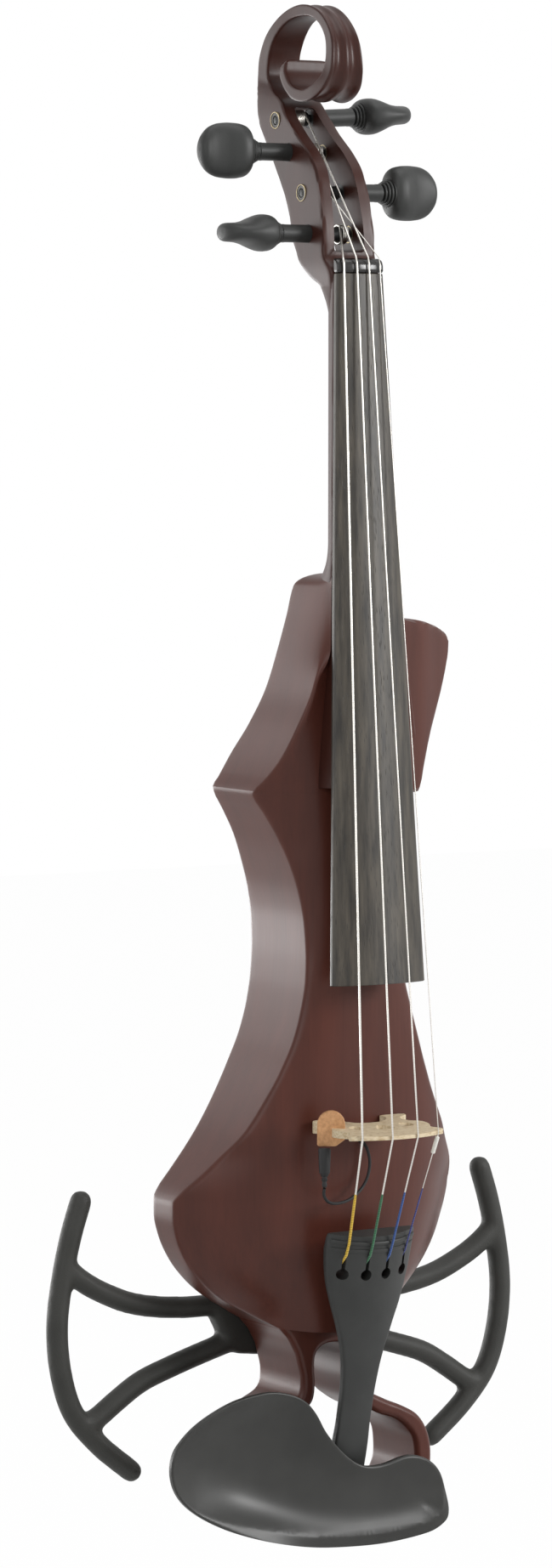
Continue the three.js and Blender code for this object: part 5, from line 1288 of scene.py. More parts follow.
def head_sweep():
    """The pegbox, the ring and its curl as one bar: plain below, fluted outside from the pegbox's back up."""
    size = np.array([HEAD_DEPTH, HEAD_TOP, HEAD_DEPTH, HEAD_TOP, HEAD_HALF_WIDTH])
    pairs = through(np.array(HEAD_PAIR_SHARES) * size, HEAD_STEPS)
    rings = []
    last = len(pairs) - 1
    for k, (outer_y, outer_z, inner_y, inner_z, width) in enumerate(pairs):
        row = k / HEAD_STEPS
        outer, inner = np.array([outer_y, outer_z]), np.array([inner_y, inner_z])
        thick = np.linalg.norm(outer - inner)
        closing = np.clip((last - k) / CURL_END_STEPS, 0, 1) ** 0.5
        flute = min(FLUTE_DEPTH, 0.22 * thick) * float(ramp(row, *FLUTE_ROWS)) * closing
        own = float(ramp(row, *OWN_WIDTH_ROWS))
        outline = [(s, 0.0, 0.0) for s in np.linspace(0, 1, 6)]
        outline += [(1.0, t, 0.0) for t in np.linspace(0.12, 0.88, 7)]
        for s in np.linspace(1, -1, 33):
            along = (abs(s) - FLUTE_EDGE_SHARE) / (FLUTE_END_SHARE - FLUTE_EDGE_SHARE)
            outline.append((s, 1.0, math.sin(math.pi * along) if 0 < along < 1 else 0.0))
        outline += [(-1.0, t, 0.0) for t in np.linspace(0.88, 0.12, 7)]
        outline += [(s, 0.0, 0.0) for s in np.linspace(-1, 0, 6)[:-1]]
        flat = []
        for s, t, cove in outline:
            along = t - flute * cove / thick
            height = inner[1] + (outer[1] - inner[1]) * along
            half = float(head_half_width(height)) * (1 - own) + width * own
            half *= CURL_END_SHARE + (1 - CURL_END_SHARE) * closing
            flat.append((s * half, along * thick))
        reach = HEAD_ROUND + NECK_JOIN_ROUND * (1 - np.clip(row / NECK_JOIN_ROWS, 0, 1))
        section = softened(flat, 84, reach)
        place = inner + section[:, 1:2] * (outer - inner) / thick
        rings.append(np.column_stack([section[:, 0], place]))
    tip = rings[-1]
    middle = tip.mean(axis=0)
    run = middle - rings[-3].mean(axis=0)
    run /= np.linalg.norm(run)
    for share in (0.35, 0.7, 0.95):
        rings.append(middle + (tip - middle) * math.sqrt(1 - share**2) + run * share * CURL_END_REACH)
    return loft(rings)


def pegbox_cut():
    """The opening between the cheeks, right through the head."""
    ups = np.linspace(PEGBOX_FLOOR, PEGBOX_ROOF, 12)
    half = [(float(head_half_width(up)) - CHEEK_WALL, up) for up in ups]
    outline = softened(mirrored(half), 120, 1.2)
    return plate(outline, -HEAD_DEPTH, HEAD_DEPTH + 2 * OVERRUN)


def peg_bores():
    """Holes through the cheeks: for the casing on the head's side, for the bush on the other."""
    cuts = []
    for name in PEGS:
        outer = float(head_half_width(PEGS[name][2]))
        inner = outer - CHEEK_WALL
        casing = rod(inner - 2, outer + 2, CASING_RADIUS + BORE_PLAY)
        bush = rod(-outer - 2, 2 - inner, BUSH_RADIUS + 3 * BORE_PLAY)
        cuts += [at_peg(name)(casing), at_peg(name)(bush)]
    return cuts


def neck_and_head():
    whole = combined(head_sweep(), [neck_shaft(), neck_tongue()])
    return combined(whole, [pegbox_cut()] + peg_bores(), "DIFFERENCE")


# Pegs
def at_peg(name):
    """Moves a shape from the peg's own axis, head towards +X, to its place."""
    side, back, up, rise, _ = PEGS[name]
    angle = -math.radians(rise) + (math.pi if side < 0 else 0)
    return lambda shape: moved(rotated(shape, "Y", angle), (0, back, up))


def peg_head(name, start):
    """A flattened, rounded grip on its stepped collar."""
    thin_up = PEGS[name][4]
    angles = 2 * math.pi * np.arange(44) / 44
    turns = (np.cos(angles), np.sin(angles))
    tall, wide = (np.sign(turn) * np.abs(turn) ** PEG_SQUARENESS for turn in turns)
    rings = []
    for along, high, thick in through(PEG_ROW_SHARES, 5):
        a, b = high * PEG_HALF_HEIGHT, thick * PEG_HALF_THICKNESS
        up, back = (b, a) if thin_up else (a, b)
        x = np.full(len(angles), start + along * PEG_HEAD_LENGTH)
        rings.append(np.column_stack([x, back * wide, up * tall]))
    collar = turned([(start + a * PEG_HEAD_LENGTH, r * PEG_HALF_HEIGHT) for a, r in COLLAR_SHARES])
    return merged(loft(rings), collar)


def build_peg(name):
    place = at_peg(name)
    letter = name[-1]
    outer = float(head_half_width(PEGS[name][2]))
    inner = outer - CHEEK_WALL
    bore = SHAFT_RADIUS + GAP
    sleeve = CASING_RADIUS - 0.1
    casing = [
        (inner, bore), (inner, CASING_RADIUS), (outer + 0.4, CASING_RADIUS), (outer + 0.4, sleeve),
        (CASING_REACH - 2.2, sleeve), (CASING_REACH - 2.0, CASING_RADIUS),
        (CASING_REACH - 0.3, CASING_RADIUS), (CASING_REACH, CASING_RADIUS - 0.3), (CASING_REACH, bore),
    ]
    tube = place(turned(casing, bored=True))
    finished(name + "_sleeve", tube, "matt_black", replaces=[name + "_casing"])
    face = -outer - BUSH_INSET
    inside, outside = BUSH_RADIUS - 0.3, BUSH_RADIUS + 0.1
    rim = [
        (face + 0.3, inside), (face, BUSH_RADIUS - 0.2), (face, BUSH_RADIUS),
        (face + 0.15, outside), (-inner, outside), (-inner, inside),
    ]
    finished(name + "_rim", place(turned(rim, bored=True)), "brass", replaces=[name + "_bush"])
    plug = [(face + PLUG_SINK, bore), (face + 0.2, inside), (-inner, inside), (-inner, bore)]
    finished(name + "_plug", place(turned(plug, bored=True)), "grey_resin")
    end = inner - SPOOL_PLAY
    middle = (inner + CASING_REACH) / 2
    waist = SPOOL_RADIUS - 0.15
    spool = [
        (face + PLUG_SINK, 0), (face + PLUG_SINK, SHAFT_RADIUS - 0.2), (face + 0.4, SHAFT_RADIUS),
        (-end, SHAFT_RADIUS), (-end, SPOOL_RADIUS - 0.2), (-end + 0.2, SPOOL_RADIUS),
        (-end + 0.9, SPOOL_RADIUS), (-end + 1.0, waist), (end - 1.0, waist), (end - 0.9, SPOOL_RADIUS),
        (end - 0.2, SPOOL_RADIUS), (end, SPOOL_RADIUS - 0.2), (end, SHAFT_RADIUS),
        (middle - GAP, SHAFT_RADIUS), (middle - GAP, 0),
    ]
    barrel = place(turned(spool))
    finished(name + "_barrel", barrel, "matt_black", letter + "_peg_spool", [name + "_spool"])
    start = CASING_REACH + GAP
    grip = place(merged(peg_head(name, start), rod(middle + GAP, start + 1, SHAFT_RADIUS)))
    finished(name + "_grip", grip, "matt_black", letter + "_peg_head", [name + "_head"])


# Strings
def tail_drop(x):
    """How far the tailpiece's arch falls away beside its middle."""
    return TAIL_ARCH - math.sqrt(TAIL_ARCH**2 - x**2)


def one_point(point, place):
    """A single point moved by a function for shapes."""
    return place((np.array([point], float), []))[0][0]


def string_places(radius, order):
    """Where a string leaves the nut, crosses nut and crown, and ends over the tailpiece's slot."""
    x = order * STRING_NUT_GAP
    height = float(board_top(0, x)) + NUT_RISE + GAP + radius
    crown_x = order * STRING_BRIDGE_GAP
    drop = CROWN_RADIUS - math.sqrt(CROWN_RADIUS**2 - crown_x**2)
    tail_x = order * STRING_TAIL_GAP
    over = tail_drop(tail_x)
    return {
        "off_nut": one_point((x, -height + 2 * NUT_RISE, NUT_LENGTH + GAP), in_neck),
        "over_nut": one_point((x, -height, NUT_LENGTH * 0.6), in_neck),
        "nut": one_point((x, -height, 0), in_neck),
        "crown": np.array([crown_x, -(BRIDGE_CROWN_FORWARD - drop + GAP + radius), -BRIDGE_DOWN]),
        "fret": one_point((tail_x, over - FRET_RISE - GAP - radius, -FRET_DOWN), in_tail),
        "end": one_point((tail_x, over - GAP - radius, -SLOT_DOWN), in_tail),
        "slot": one_point((tail_x, over + TAIL_EDGE / 2, -SLOT_DOWN - 3 * SLOT_WIDTH), in_tail),
    }


def string_path(radius, peg, turns, order):
    """The string from its windings over nut and bridge into the tailpiece, and its places on the way."""
    side, back, up, rise, _ = PEGS[peg]
    places = string_places(radius, order)
    turn = SPOOL_RADIUS + GAP + radius
    pitch = 2 * radius + WINDING_GAP
    inner = float(head_half_width(up)) - CHEEK_WALL
    start = -side * (inner - SPOOL_PLAY - 2 * radius)
    off = places["off_nut"][1:] - (back, up)
    leave = math.atan2(off[1], off[0]) - math.acos(turn / np.linalg.norm(off))
    count = turns * WINDING_STEPS
    points = []
    for i in range(count + 1):
        angle = leave - 2 * math.pi * (count - i) / WINDING_STEPS
        x = start + side * pitch * i / WINDING_STEPS
        lift = x * math.tan(math.radians(rise))
        points.append((x, back + turn * math.cos(angle), up + lift + turn * math.sin(angle)))
    run = [places[key] for key in ("off_nut", "over_nut", "nut")]
    span = [places["nut"] + (places["crown"] - places["nut"]) * t for t in np.linspace(0, 1, 12)[1:]]
    tail = [places["crown"] + (places["fret"] - places["crown"]) * t for t in (0.5, 1.0)]
    return np.array(points + run + span + tail + [places["end"], places["slot"]]), places


def build_string(name):
    radius, peg, turns, order, silk_name = STRINGS[name]
    path, places = string_path(radius, peg, turns, order)
    wound = sweep(path, radius, 12)
    finished(name + "_wound", wound, "string_metal", replaces=[name], sharp=60)
    run = places["fret"] - places["crown"]
    start = places["crown"] + run * SILK_SHARE
    lining = [start + run * (1 - SILK_SHARE) * t for t in np.linspace(0, 1, 8)]
    lining += [places["end"], places["slot"]]
    radii = [radius] + [radius + SILK_THICKNESS] * (len(lining) - 1)
    finished(name + "_silk", sweep(lining, radii, 14), silk_name, sharp=60)


def build_sleeve():
    radius, _, _, order, _ = STRINGS["string_e"]
    places = string_places(radius, order)
    run = places["fret"] - places["crown"]
    run /= np.linalg.norm(run)
    start = places["crown"] + run * BRIDGE_CROWN_THICKNESS
    ends = [start + run * t for t in (0, 0.25, SLEEVE_LENGTH - 0.25, SLEEVE_LENGTH)]
    radii = [SLEEVE_RADIUS - 0.2, SLEEVE_RADIUS, SLEEVE_RADIUS, SLEEVE_RADIUS - 0.2]
    tube = sweep(ends, radii, 20)
    finished("e_string_tube", tube, "white_plastic", replaces=["e_string_sleeve"])


# Bridge and pickup
def bridge_half_thickness(y):
    """The bridge thins from its feet to its crown."""
    share = np.clip((RIDGE_PLANE - y) / BRIDGE_HEIGHT, 0, 1)
    return BRIDGE_FOOT_THICKNESS / 2 + (BRIDGE_CROWN_THICKNESS - BRIDGE_FOOT_THICKNESS) / 2 * share


def bridge():
    def place(shares):
        rise = BRIDGE_HEIGHT - GAP
        return np.array([(x * BRIDGE_HALF_WIDTH, RIDGE_PLANE - GAP - up * rise) for x, up in shares])

    outline = softened(mirrored(through(place(BRIDGE_OUTLINE_SHARES), 4)), 260, 0.35)
    verts, faces = plate(outline, -1, 1, "Z", 0.16, 3)
    verts[:, 2] *= bridge_half_thickness(verts[:, 1])
    verts[:, 2] += BRIDGE_LEAN * (1 - (RIDGE_PLANE - verts[:, 1]) / BRIDGE_HEIGHT) - BRIDGE_DOWN
    heart = softened(mirrored(through(place(BRIDGE_HEART_SHARES), 4)), 80, 0.3)
    kidney = through(place(BRIDGE_KIDNEY_SHARES), 5, closed=True)
    low, high = -BRIDGE_DOWN - OVERRUN, -BRIDGE_DOWN + OVERRUN
    cuts = [plate(hole, low, high, "Z") for hole in (heart, kidney, kidney * (-1, 1))]
    return combined((verts, faces), cuts, "DIFFERENCE")


def pickup():
    """A plate with a round top and a square end, clamped in the bridge's wing."""
    r, low, half = PICKUP_RADIUS, -PICKUP_DROP, PICKUP_THICKNESS / 2
    outline = [(r * math.cos(a), r * math.sin(a)) for a in np.linspace(0, math.pi, 25)]
    outline += [(-r, low + 0.5), (-r + 0.5, low), (r - 3.5, low), (r, low + 2.6)]
    body = plate(softened(outline, 120, 0.25), -half, half, "Y", 0.35)
    return moved(rotated(body, "Z", -PICKUP_TURN), PICKUP_PLACE)


def cable_points():
    """The lead's whole route, from the strain relief to the circuit board."""
    front = [(x, y, up - BRIDGE_DOWN) for x, y, up in CABLE_FRONT_ROUTE]
    hole = [(x, CAVITY_FLOOR + y, up - CABLE_HOLE[1]) for x, y, up in CABLE_HOLE_ROUTE]
    back = [(x, CAVITY_FLOOR + y, up - CIRCUIT_TOP) for x, y, up in CABLE_BACK_ROUTE]
    return np.array(front + hole + back)


def strain_relief():
    """A stepped boot from the cable's end up to the pickup."""
    top = np.array(RELIEF_TOP)
    tip = cable_points()[0]
    run = top - tip
    tip = tip + run / np.linalg.norm(run) * GAP
    return sweep([tip + (top - tip) * share for share in RELIEF_SHARES], RELIEF_RADII, 28)


def build_cable():
    path = through(cable_points(), 4)
    lead = sweep(path, CABLE_RADIUS, 14)
    cable = finished("pickup_lead", lead, "black_rubber", replaces=["pickup_cable"], sharp=60)


# Tailpiece and its loop
def tail_ring(down, half, rise, under):
    """A section of the tailpiece, raised by rise and under thick at its edges."""
    top = [(a, tail_drop(a) - rise) for a in np.linspace(half, -half, 33)]
    low = tail_drop(half) + under
    ring = softened([(0, low), (half, low)] + top + [(-half, low)], 96, TAIL_ROUND)
    return np.column_stack([ring, np.full(len(ring), -down)])


def tailpiece():
    along = np.linspace(0, 1, 64)
    downs, halves = along * TAIL_LENGTH, eased(TAIL_ROW_SHARES, along) * TAIL_HALF_WIDTH
    rings = [
        tail_ring(0, halves[0] - 0.4, -0.4, TAIL_EDGE / 2 - 0.4),
        tail_ring(0.2, halves[0] - 0.15, -0.15, TAIL_EDGE / 2 - 0.2),
    ]
    for down, half in zip(downs[1:-1], halves[1:-1]):
        rings.append(tail_ring(down, half, 0, TAIL_EDGE * min(1, 0.45 + down / 12)))
    rings += [
        tail_ring(TAIL_LENGTH - 0.3, halves[-1] - 0.2, -0.25, TAIL_EDGE - 0.25),
        tail_ring(TAIL_LENGTH, halves[-1] - 0.8, -0.8, TAIL_EDGE - 0.8),
    ]
    bars = []
    for down, rise in ((FRET_DOWN, FRET_RISE), (FRET_DOWN + 2 * FRET_WIDTH, FRET_RISE / 2)):
        stages = []
        for k in range(BAR_STEPS + 1):
            angle = math.pi * k / BAR_STEPS
            height = rise * math.sin(angle) ** 0.6 if 0 < k < BAR_STEPS else -BAR_SINK
            place = down - FRET_WIDTH / 2 * math.cos(angle)
            stages.append(tail_ring(place, TAIL_HALF_WIDTH * 0.965, height, TAIL_EDGE / 2))
        bars.append(loft(stages))
    cuts = []
    for order in STRING_ORDERS:
        x = order * STRING_TAIL_GAP
        side, top = SLOT_WIDTH / 2, -SLOT_DOWN - SLOT_WIDTH
        hole = circle(x, -KEYHOLE_DOWN, KEYHOLE_RADIUS, 32)
        slot = rectangle(x - side, x + side, -KEYHOLE_DOWN, top, SLOT_WIDTH * 0.49)
        cuts += [plate(shape, -TAIL_HALF_WIDTH, TAIL_HALF_WIDTH) for shape in (hole, slot)]
    half = GUT_HALF_SPREAD + GUT_RADIUS + GAP
    entry = rectangle(-half, half, -TAIL_LENGTH - OVERRUN, -TAIL_LENGTH + 6 * GUT_RADIUS, 0.4)
    cuts.append(plate(entry, TAIL_EDGE / 2 - GUT_RADIUS, TAIL_EDGE * 3))
    return in_tail(object_shape(combined(combined(loft(rings), bars), cuts, "DIFFERENCE")))


def tail_gut():
    """A loop from the tailpiece over the saddle and round the button."""
    bottom = -LOOP_BOTTOM
    front = LOOP_FRONT - GAP - SADDLE_RISE - GAP - GUT_RADIUS
    under = bottom - GAP - GUT_RADIUS
    tail = one_point((GUT_HALF_SPREAD, TAIL_EDGE / 2 + GAP, -TAIL_LENGTH + 4 * GUT_RADIUS), in_tail)
    bend = 4 * GUT_RADIUS
    neck = BUTTON_NECK_RADIUS + GAP + GUT_RADIUS
    x = GUT_HALF_SPREAD
    half = [
        tuple(tail), (x, front, bottom + SADDLE_LENGTH), (x, front, bottom + bend / 3),
        (x, front + bend / 4, under + bend / 4), (x, front + bend, under),
        (neck, (front + BUTTON_BACK) / 2, under), (neck, BUTTON_BACK, under),
        (neck * math.sqrt(0.5), BUTTON_BACK + neck * math.sqrt(0.5), under), (0, BUTTON_BACK + neck, under),
    ]
    other = [(-x, y, z) for x, y, z in half[:-1]][::-1]
    return sweep(through(half + other, 5), GUT_RADIUS, 16)


def saddle():
    """A rounded rail on the loop's lower edge."""
    bottom, back = -LOOP_BOTTOM, LOOP_FRONT - GAP
    top, front = bottom + SADDLE_LENGTH, back - SADDLE_RISE
    outline = [
        (back, bottom + GAP), (back, top), (back - SADDLE_RISE / 2, top),
        (front, bottom + SADDLE_LENGTH * 0.7), (front, bottom + SADDLE_LENGTH * 0.25),
        (back - SADDLE_RISE * 0.55, bottom + GAP),
    ]
    return plate(softened(outline, 64, 0.5), -SADDLE_HALF_WIDTH, SADDLE_HALF_WIDTH, "X", 0.6)


def end_button():
    top = 2 * GAP + 2 * GUT_RADIUS
    height = BUTTON_HEAD_THICKNESS
    profile = [(-4, 0), (-4, 3), (GAP, 3), (GAP, BUTTON_NECK_RADIUS), (top, BUTTON_NECK_RADIUS)]
    profile += [(top, BUTTON_HEAD_RADIUS - 0.4), (top + 0.4, BUTTON_HEAD_RADIUS)]
    for up, size in ((0.6, 1), (0.85, 0.88), (0.96, 0.6), (1, 0.25), (1, 0)):
        profile.append((top + height * up, BUTTON_HEAD_RADIUS * size))
    return moved(rotated(turned(profile), "Y", math.pi / 2), (0, BUTTON_BACK, -LOOP_BOTTOM))


# Chin rest
def reach_to(points, line):
    """Distance from each point to a line of points, and the place on the line that it's nearest to."""
    a, b = line[:-1], line[1:]
    run = b - a
    t = np.clip(((points[:, None] - a) * run).sum(2) / (run**2).sum(1), 0, 1)
    near = a + t[:, :, None] * run
    gap = np.linalg.norm(points[:, None] - near, axis=2)
    best = gap.argmin(1)
    row = np.arange(len(points))
    return gap[row, best], near[row, best], t[row, best]


def chin_heights(points, outline, spine):
    """How far back the plate's upper and lower faces lie at each point."""
    edge, rim, _ = reach_to(points, looped(outline))
    middle, _, along = reach_to(points, spine)
    low = ramp((-rim[:, 1] - CHIN_TOP) / CHIN_HEIGHT, *CHIN_LIP_SHARES)
    fall = np.minimum(1, edge / (edge + middle + 1e-9) / CHIN_CUP_SHARE)
    cup = CHIN_CUP_DEPTH * (1 - 0.9 * ramp(along, 0.0, 0.75))
    lie = -CHIN_RIM + cup * (1 - (1 - fall) ** 2)
    size = CHIN_EDGE_ROUND + (CHIN_LIP_ROUND - CHIN_EDGE_ROUND) * low
    out = 1 - np.minimum(edge, size) / size
    turn = size * ((1 - low) * (1 - np.sqrt(1 - out**2)) + low * 0.8 * out**1.25)
    inner = 1 - np.minimum(edge, CHIN_UNDER_ROUND) / CHIN_UNDER_ROUND
    under = CHIN_UNDER_ROUND * (1 - np.sqrt(1 - inner**2))
    lip = CHIN_LIP * low * (1 - np.minimum(1, edge / CHIN_LIP_REACH)) ** 2
    return lie - lip + 0.9 * turn, lie - 0.4 * lip + CHIN_WALL - under


def chin_plate():
    """The plate between two height fields, meshed evenly so that it shades without a crease."""
    outline = through(scaled(CHIN_OUTLINE_SHARES, CHIN_HALF_WIDTH, -CHIN_HEIGHT, -CHIN_TOP), 8, closed=True)
    outline = softened(outline, 300, 0.8)
    spine = scaled(CHIN_SPINE_SHARES, CHIN_HALF_WIDTH, -CHIN_HEIGHT, -CHIN_TOP)
    flat = np.vstack([outline] + [inset(outline, amount) for amount in CHIN_INSETS] + [inner_grid(outline)])
    count = len(outline)
    rim = [(i, (i + 1) % count) for i in range(count)]
    verts, _, faces, origin, _, _ = delaunay_2d_cdt([Vector(p) for p in flat], rim, [], 1, 1e-6)
    flat = np.array([tuple(v) for v in verts])
    order = {old: new for new, olds in enumerate(origin) for old in olds}
    over, under = chin_heights(flat, outline, spine)
    top = np.column_stack([flat[:, 0], over, flat[:, 1]])
    bottom = np.column_stack([flat[:, 0], under, flat[:, 1]])
    start = len(flat)
    skin = [tuple(f) for f in faces] + [tuple(i + start for i in reversed(f)) for f in faces]
    for i, j in rim:
        a, b = order[i], order[j]
        skin.append((b, a, a + start, b + start))
    return outward((np.vstack([top, bottom]), skin))


def inner_grid(outline):
    """Points of an even grid that lie well inside the outline."""
    low, high = outline.min(0), outline.max(0)
    lines = [np.arange(low[axis], high[axis], CHIN_GRID) for axis in (0, 1)]
    grid = np.stack(np.meshgrid(*lines), -1).reshape(-1, 2)
    x, z = outline.T
    next_x, next_z = np.roll(outline, -1, 0).T
    level = grid[:, None, 1]
    crosses = (z > level) != (next_z > level)
    rise = np.where(next_z == z, 1e-9, next_z - z)
    at = x + (level - z) * (next_x - x) / rise
    grid = grid[((crosses & (grid[:, None, 0] < at)).sum(1) % 2) == 1]
    return grid[reach_to(grid, looped(outline))[0] > CHIN_GRID_START]


def chin_rest():
    """The cup with the two feet and posts that reach down to the loop."""
    front = LOOP_FRONT - GAP - PAD_THICKNESS
    low, high = -LOOP_BOTTOM - 1, -LOOP_BOTTOM + GAP + FOOT_LENGTH
    parts = [chin_plate()]
    for side in (-1, 1):
        x0, x1 = sorted((side * FOOT_INNER, side * (FOOT_INNER + FOOT_WIDTH)))
        parts.append(block(x0, x1, -CHIN_RIM + CHIN_WALL / 2, front - GAP / 2, low, high, 1.0))
        boss = side * CLAMP_ACROSS
        foot = CLAMP_DOWN - POST_RADIUS
        parts.append(block(boss - 3, boss + 3, front - 5, front - GAP / 2, foot, low + 2, 0.8))
        post = rod(front - 2, CLAMP_MIDDLE - GAP / 2, POST_RADIUS, 32)
        parts.append(moved(along_y(post), (boss, 0, CLAMP_DOWN)))
    return merged(*parts)


def build_chin_rest():
    finished("chin_rest_cup", chin_rest(), "satin_black", replaces=["chin_rest"])
    front = LOOP_FRONT - GAP - PAD_THICKNESS
    low = -LOOP_BOTTOM + GAP
    for side, word in SIDES:
        x0, x1 = sorted((side * FOOT_INNER, side * (FOOT_INNER + FOOT_WIDTH)))
        pad = block(x0, x1, front, LOOP_FRONT - GAP / 3, low, low + FOOT_LENGTH, 0.35)
        finished("chin_pad_" + word, pad, "cork", replaces=["chin_rest_pad_" + word])
    half = BRACKET_HALF_WIDTH
    start = BACK_PLANE + 2 * GAP + PAD_THICKNESS
    top = -LOOP_BOTTOM + BRACKET_HOOK
    parts = [block(-half, half, start, start + BRACKET_THICKNESS, CLAMP_DOWN - POST_RADIUS, top, 0.7)]
    for side, _ in SIDES:
        post = rod(CLAMP_MIDDLE + GAP / 2, start + 1, POST_RADIUS, 32)
        parts.append(moved(along_y(post), (side * CLAMP_ACROSS, 0, CLAMP_DOWN)))
    finished("chin_bracket", merged(*parts), "steel", replaces=["chin_rest_bracket"])
    pad = block(-half, half, BACK_PLANE + GAP / 3, start - GAP / 3, -LOOP_BOTTOM + 1, top, 0.35)
    finished("chin_back_pad", pad, "cork", replaces=["chin_rest_back_pad"])
    for side, word in SIDES:
        half, bore = BARREL_LENGTH / 2, POST_RADIUS + GAP / 2
        profile = [
            (-half, bore), (-half, BARREL_RADIUS - 0.4), (-half + 0.4, BARREL_RADIUS),
            (half - 0.4, BARREL_RADIUS), (half, BARREL_RADIUS - 0.4), (half, bore),
        ]
        hole = rod(-4, 4, BARREL_HOLE_RADIUS, 20)
        cut = moved(rotated(hole, "Y", math.pi / 2), (BARREL_LENGTH / 4, 0, 0))
        barrel = object_shape(combined(turned(profile, bored=True), [cut], "DIFFERENCE"))
        barrel = moved(along_y(barrel), (side * CLAMP_ACROSS, CLAMP_MIDDLE, CLAMP_DOWN))
        finished("turnbuckle_" + word, barrel, "steel", word + "_barrel", ["clamp_barrel_" + word])


# Wings
def wing(side):
    """Three bars and a hub under one even skin, with seats for the screws' heads."""
    middle = BACK_PLANE + GAP + WING_RADIUS
    behind = middle + WING_RADIUS

    def place(shares):
        return scaled(shares, WING_SPAN, -WING_HEIGHT, -WING_TOP)

    def bar(shares):
        return sweep([(side * x, middle, z) for x, z in through(place(shares), 6)], WING_RADIUS, 24)

    def ball(share):
        x, z = place([share])[0]
        angles = np.linspace(-math.pi / 2, math.pi / 2, 13)
        profile = [(WING_RADIUS * math.sin(a), WING_RADIUS * math.cos(a)) for a in angles]
        return moved(turned(profile, 24), (side * x, middle, z))

    hub = softened(place(WING_HUB_SHARES) * (side, 1), 90, HUB_ROUND)
    parts = [plate(hub, BACK_PLANE + GAP, BACK_PLANE + GAP + 2 * WING_RADIUS, "Y", HUB_ROUND)]
    parts += [bar(shares) for shares in (WING_ARC_SHARES, WING_UPPER_SHARES, WING_LOWER_SHARES)]
    parts += [ball(WING_ARC_SHARES[0]), ball(WING_ARC_SHARES[-1])]
    skin = remeshed(raw(merged(*parts)), WING_GRAIN, WING_PASSES)
    seats = []
    for x, z in place(WING_SCREW_SHARES):
        seat = circle(side * x, z, SCREW_HEAD_RADIUS + GAP)
        seats.append(plate(seat, behind - SCREW_HEAD_THICKNESS, behind + OVERRUN))
    return combined(skin, seats, "DIFFERENCE")


def pan_screw(radius, thickness, shank, length):
    """A pan-head screw along Y, its head's face at 0 and a hexagon socket in it."""
    profile = [(-length, 0), (-length, shank), (-thickness, shank)]
    for place, size in ((1, 1), (0.35, 1), (0.12, 0.93), (0, 0.78), (0, 0.4), (0, 0)):
        profile.append((-thickness * place, radius * size))
    socket = plate(circle(0, 0, radius * 0.42, 6), -thickness * 0.6, OVERRUN)
    return object_shape(combined(along_y(turned(profile, 40)), [socket], "DIFFERENCE"))


def build_wings():
    face = BACK_PLANE + 2 * WING_RADIUS
    for side, word in SIDES:
        node = "wing_" + word
        finished(node + "_skin", wing(side), "wing_black", replaces=[node], sharp=45)
        for i, (x, z) in enumerate(scaled(WING_SCREW_SHARES, WING_SPAN, -WING_HEIGHT, -WING_TOP)):
            node = "wing_" + word + "_screw_" + str(i + 1)
            screw = pan_screw(SCREW_HEAD_RADIUS, SCREW_HEAD_THICKNESS, SCREW_SHANK_RADIUS, SCREW_LENGTH)
            finished(node + "_turned", moved(screw, (side * x, face, z)), "steel", replaces=[node])


# Back cover, knobs and sockets
def cover_screw_places():
    by = COVER_BOSS / 2
    top, wide = CAVITY_TOP_HALF_WIDTH - by, CAVITY_HALF_WIDTH - by
    high = -CAVITY_TOP + GAP - by
    return [(top, high), (-top, high), (wide, -CAVITY_SHOULDER - COVER_BOSS), (-wide, -CAVITY_BOTTOM + by)]


def knob(down):
    """A fluted knob with a domed top and a pointer's groove, on its shaft."""
    start = BACK_PLANE + 2 * GAP
    count = 96
    angles = 2 * math.pi * np.arange(count) / count
    rings = []
    for level, size in KNOB_ROW_SHARES:
        flute = KNOB_FLUTE_DEPTH * (level < 0.9)
        radius = KNOB_RADIUS * size * (1 - flute * (0.5 + 0.5 * np.cos(KNOB_FLUTES * angles)) ** 2)
        up = np.full(count, start + KNOB_RISE * level)
        rings.append(np.column_stack([radius * np.cos(angles), up, radius * np.sin(angles)]))
    shaft = rod(BACK_PLANE - COVER_THICKNESS, start + 1, SHAFT_HOLE_RADIUS, 32)
    top = start + KNOB_RISE
    groove = block(-GAP, GAP, top - GAP, top + OVERRUN, 1, KNOB_RADIUS + 1, 0.1)
    head = combined(loft(rings), [groove], "DIFFERENCE")
    return moved(merged(object_shape(head), along_y(shaft)), (KNOB_ACROSS, 0, -down))


def build_back():
    keep("back_cover", "matt_black")
    keep("battery", "battery_case")
    keep("battery_door", "matt_black")
    keep("circuit_board", "circuit")
    keep("power_switch_lever", "matt_black")
    for node, (body, down) in KNOBS.items():
        finished(node + "_fluted", knob(down), "matt_black", body, [node])
    for i, (x, z) in enumerate(cover_screw_places()):
        node = "cover_screw_" + str(i + 1)
        screw = pan_screw(COVER_HEAD_RADIUS, COVER_HEAD_THICKNESS, COVER_SCREW_RADIUS, COVER_SCREW_LENGTH)
        finished(node + "_turned", moved(screw, (x, BACK_PLANE, z)), "steel", replaces=[node])
    for node, (along, radius, length, flange, bore) in SOCKETS.items():
        seat = -FLANGE_THICKNESS + 0.1
        profile = [
            (-length, bore), (-length, radius), (seat, radius), (seat, flange),
            (0, flange), (GAP, flange - 0.3), (GAP, bore + 0.6), (GAP - 0.2, bore),
        ]
        shell = socket_place(along, flange)(turned(profile, bored=True))
        finished(node + "_turned", shell, "steel", replaces=[node])


